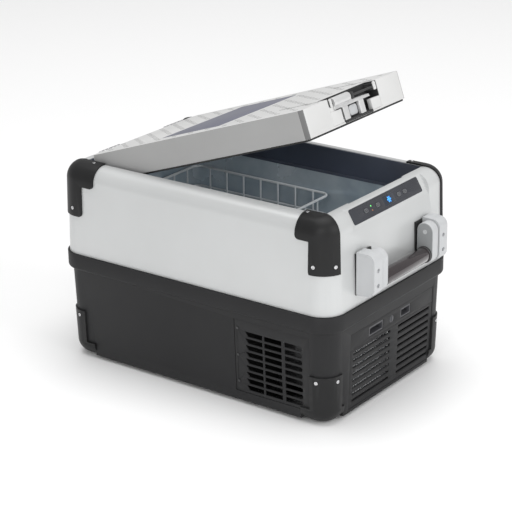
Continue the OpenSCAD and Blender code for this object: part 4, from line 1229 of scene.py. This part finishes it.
@dataclass
class Latch:
    """Latch in the lid's end: pocket, barrel, ledge and fingers."""

    shop: Workshop
    lid: Lid

    barrel_r: float = 8.2 * MM

    def _box(self, y: Tuple[float, float], t: Tuple[float, float], x: Tuple[float, float], soft: float = 0.6) -> bpy.types.Object:
        """Makes a soft-edged block in the lid's end.

        Args:
            y: From and to, across the lid, in millimetres.
            t: From and to, above the lid's lower edge, in millimetres.
            x: From and to, from the lid's end face inwards when negative, in millimetres.
            soft: Rounding of the edges in millimetres.

        Returns:
            The block, as it lies when the lid is shut.
        """
        low, high = self.lid.shut_box("lid_shell")
        obj = block(
            (high.x + x[0] * MM, y[0] * MM, low.z + t[0] * MM), (high.x + x[1] * MM, y[1] * MM, low.z + t[1] * MM)
        )
        return soften(obj, soft * MM, 3) if soft else obj

    def _seat(self, parts: Sequence[bpy.types.Object], name: str, like: str, finish: Finish, nodes: Sequence[str] = ()) -> None:
        """Joins parts, opens them with the lid and mounts them.

        Args:
            parts: The parts as they lie when the lid is shut.
            name: The piece's name.
            like: The CAD node whose body and slot it takes.
            finish: Its finish.
            nodes: The CAD nodes that it replaces.
        """
        obj = move_mesh(join(parts), self.lid.turn)
        self.shop.mount(obj, name, like, finish, nodes)

    def build(self) -> None:
        """Makes the pocket, its fillers, the barrel, the ledge, the fingers and black strips of painted shadow in its
        gaps.
        """
        self.shop.cast_piece("latch_housing", 0.4 * MM, 2, LATCH_BLACK)
        self.shop.cast_piece("latch_pin", 0.3 * MM, 2, LATCH_BLACK)
        fillers = [
            self._box((-75.7, -43), (3.2, 28), (-9, -0.1)),
            self._box((47, 75.7), (3.2, 23), (-9, -0.1)),
            self._box((-75.7, -64), (28, 37), (-9, -0.1)),
        ]
        self._seat(fillers, "latch_end_fillers", "lid_shell", LID_TOP)
        ears = []
        for y0, y1 in ((-72, -65.5), (64.5, 72)):
            ear = self._box((y0, y1), (35.5, 50.5), (-1.4, 0.8), 0)
            choose(ear, Part.EDGES, lambda c, d: abs(d.x) > 0.9)
            bpy.ops.mesh.bevel(offset=2.4 * MM, segments=4)
            done()
            press_in(ear, lambda c, n: n.x > 0.9, 0.9 * MM, 0.4 * MM)
            ears.append(soften(ear, 0.4 * MM, 2))
        self._seat(ears, "latch_ears", "latch_housing", LID_TOP)
        # Thin black strips along the gaps round the latch pocket: painted shadow where those gaps lie in shade.
        dark = [self._box((-42, 46), (0.4, 3.0), (-1.5, 0.6), 0.1), self._box((-44.5, -42.5), (8, 28), (-6, 0.1), 0.2),
                self._box((-58, -42), (27.6, 29.2), (-6, 0.1), 0.2)]
        self._seat(dark, "latch_shadow_gaps", "latch_housing", LATCH_BLACK)
        block_grey = self._box((-15, 9), (8, 26), (-12, -5), 0)
        choose(block_grey, Part.EDGES, lambda c, d: abs(d.x) > 0.9 and c.z > 0)
        bpy.ops.mesh.bevel(offset=5 * MM, segments=5)
        done()
        self._seat([soften(block_grey, 0.8 * MM, 3)], "latch_keeper_block", "latch_housing", HANDLE_GREY)
        self._handle()

    def _handle(self) -> None:
        """Makes the turning part: barrel, its black end, the ledge and two fingers."""
        joint = self.shop.joints["latch_turn"]
        pin = self.lid.turn.inverted() @ Vector(joint["pos_m"])
        barrel = rod((pin.x, -63 * MM, pin.z + 1 * MM), (pin.x, -13 * MM, pin.z + 1 * MM), self.barrel_r, 48)
        press_in(barrel, lambda c, n: abs(n.y) > 0.9, 2 * MM, 0.6 * MM)
        soften(barrel, 0.8 * MM, 3)
        ledge = self._box((-61, 50), (28.5, 36.5), (-10, -1.2), 0)
        choose(ledge, Part.POINTS, lambda c, n: c.y > 0 and c.z > pin.z - 8 * MM)
        bpy.ops.transform.translate(value=(-2 * MM, 0, -3.2 * MM))
        done()
        wedge = self._box((-14, 4), (34, 42), (-9, -2), 0)
        choose(wedge, Part.POINTS, lambda c, n: c.y > 0 and c.z > pin.z - 3 * MM)
        bpy.ops.transform.translate(value=(0, -6 * MM, -7 * MM))
        done()
        fingers = [
            self._box((-38, -22), (5, 29), (-7, -0.4), 1.0),
            self._box((12, 27), (5, 29), (-7, -0.4), 1.0),
        ]
        parts = [barrel, soften(ledge, 0.8 * MM, 3), soften(wedge, 0.8 * MM, 3), *fingers]
        self._seat(parts, "latch_handle_silver", "latch_handle", LATCH_SILVER, ["latch_handle"])
        end = rod((pin.x, -13.6 * MM, pin.z + 1 * MM), (pin.x, -9.5 * MM, pin.z + 1 * MM), 5.4 * MM, 32)
        press_in(end, lambda c, n: n.y > 0.9, 1.4 * MM, 0.8 * MM)
        self._seat([soften(end, 0.6 * MM, 3)], "latch_barrel_end", "latch_handle", LATCH_BLACK)


@dataclass
class Interior:
    """Wire basket, light and the hidden works."""

    shop: Workshop

    def build(self) -> None:
        """Makes the basket and the parts behind the vents."""
        obj = cast("wire_basket")
        smooth(obj, 50)
        self.shop.mount(obj, "wire_basket_soft", "wire_basket", WIRE, ["wire_basket"])
        self.shop.cast_piece("interior_light", 0.8 * MM, 3)
        for node in ("compressor", "fan_frame", "fan_rotor", "condenser", "base_plate", "control_board"):
            self.shop.cast_piece(node, 0.4 * MM, 2, pierced=True)


@dataclass
class Studio:
    """Pale floor, soft lights and the camera."""

    azimuth: float = 36.5
    elevation: float = 21.0
    roll: float = -0.8
    distance: float = 3.3695
    lens: float = 126.6
    aim_height: float = 0.2
    aim_right: float = 0.0033
    aim_up: float = 0.0006
    ambient: float = 0.5
    strip_height: float = 2.6

    def build(self) -> None:
        """Sets up the floor, the light and the camera."""
        self._floor()
        self._world()
        self._lights()
        self._camera()

    def _floor(self) -> None:
        """Makes the pale floor."""
        bpy.ops.object.select_all(action="DESELECT")
        bpy.ops.mesh.primitive_plane_add(size=60, location=(0, 0, -0.0002))
        obj = bpy.context.active_object
        obj.name = "studio_floor"
        settle(obj)
        made = bpy.data.materials.new("studio_floor")
        made.use_nodes = True
        shader = made.node_tree.nodes["Principled BSDF"]
        noise = made.node_tree.nodes.new("ShaderNodeTexNoise")
        noise.inputs["Scale"].default_value = 0.7
        mix = made.node_tree.nodes.new("ShaderNodeMix")
        mix.data_type = "RGBA"
        mix.inputs["A"].default_value = (0.96, 0.96, 0.96, 1)
        mix.inputs["B"].default_value = (0.98, 0.98, 0.98, 1)
        made.node_tree.links.new(noise.outputs["Fac"], mix.inputs["Factor"])
        made.node_tree.links.new(mix.outputs["Result"], shader.inputs["Base Color"])
        shader.inputs["Roughness"].default_value = 0.7
        obj.data.materials.append(made)

    def _world(self) -> None:
        """Makes the surrounding light."""
        world = bpy.data.worlds.new("studio")
        bpy.context.scene.world = world
        world.use_nodes = True
        nodes, links = world.node_tree.nodes, world.node_tree.links
        back = nodes["Background"]
        back.inputs["Color"].default_value = (1, 1, 1, 1)
        seen = nodes.new("ShaderNodeLightPath")
        level = nodes.new("ShaderNodeMapRange")
        level.inputs["To Min"].default_value = self.ambient
        level.inputs["To Max"].default_value = 1.0
        links.new(seen.outputs["Is Camera Ray"], level.inputs["Value"])
        links.new(level.outputs["Result"], back.inputs["Strength"])
        bpy.context.scene.view_settings.view_transform = "Standard"

    def _lights(self) -> None:
        """Makes the three soft lamps."""
        for name, place, size, power in (
            ("key_right", (4.0, 0.2, 2.2), 2.6, 62),
            ("top_soft", (-0.4, 0.2, 6.0), 5.0, 215),
            ("cavity_light", (1.5, -2.6, 1.9), 1.2, 16),
            ("front_strip", (1.0, -3.4, 0.9), 0.35, 14),
        ):
            lamp = bpy.data.lights.new(name, "AREA")
            lamp.size = size
            if name == "front_strip":
                lamp.shape = "RECTANGLE"
                lamp.size_y = self.strip_height
            lamp.energy = power
            obj = bpy.data.objects.new(name, lamp)
            bpy.context.scene.collection.objects.link(obj)
            obj.location = place
            obj.rotation_mode = "QUATERNION"
            obj.rotation_quaternion = (Vector(place) - Vector((0, 0, 0.25))).to_track_quat("Z", "Y")

    def _camera(self) -> None:
        """Makes the camera."""
        a, e = math.radians(self.azimuth), math.radians(self.elevation)
        back = Vector((math.sin(a) * math.cos(e), -math.cos(a) * math.cos(e), math.sin(e)))
        right = Vector((math.cos(a), math.sin(a), 0))
        up = back.cross(right)
        aim = Vector((0, 0, self.aim_height)) + right * self.aim_right + up * self.aim_up
        lens = bpy.data.cameras.new("camera")
        lens.lens = self.lens
        lens.sensor_width = 36
        obj = bpy.data.objects.new("camera", lens)
        bpy.context.scene.collection.objects.link(obj)
        r = math.radians(self.roll)
        right, up = right * math.cos(r) + up * math.sin(r), up * math.cos(r) - right * math.sin(r)
        turn = Matrix((right, up, back)).transposed().to_4x4()
        obj.matrix_world = Matrix.Translation(aim + back * self.distance) @ turn
        bpy.context.scene.camera = obj


def main() -> None:
    """Builds the cooler piece by piece."""
    logging.basicConfig(level=logging.INFO, format="%(name)s: %(message)s")
    random.seed(7)
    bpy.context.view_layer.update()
    shop = Workshop()
    shop.dress_frame()
    Cabinet(shop).build()
    Armour(shop).build()
    Handles(shop).build()
    ControlPanel(shop).build()
    lid = Lid(shop)
    lid.build()
    Latch(shop, lid).build()
    Interior(shop).build()
    Studio().build()


if __name__ == "__main__":
    main()
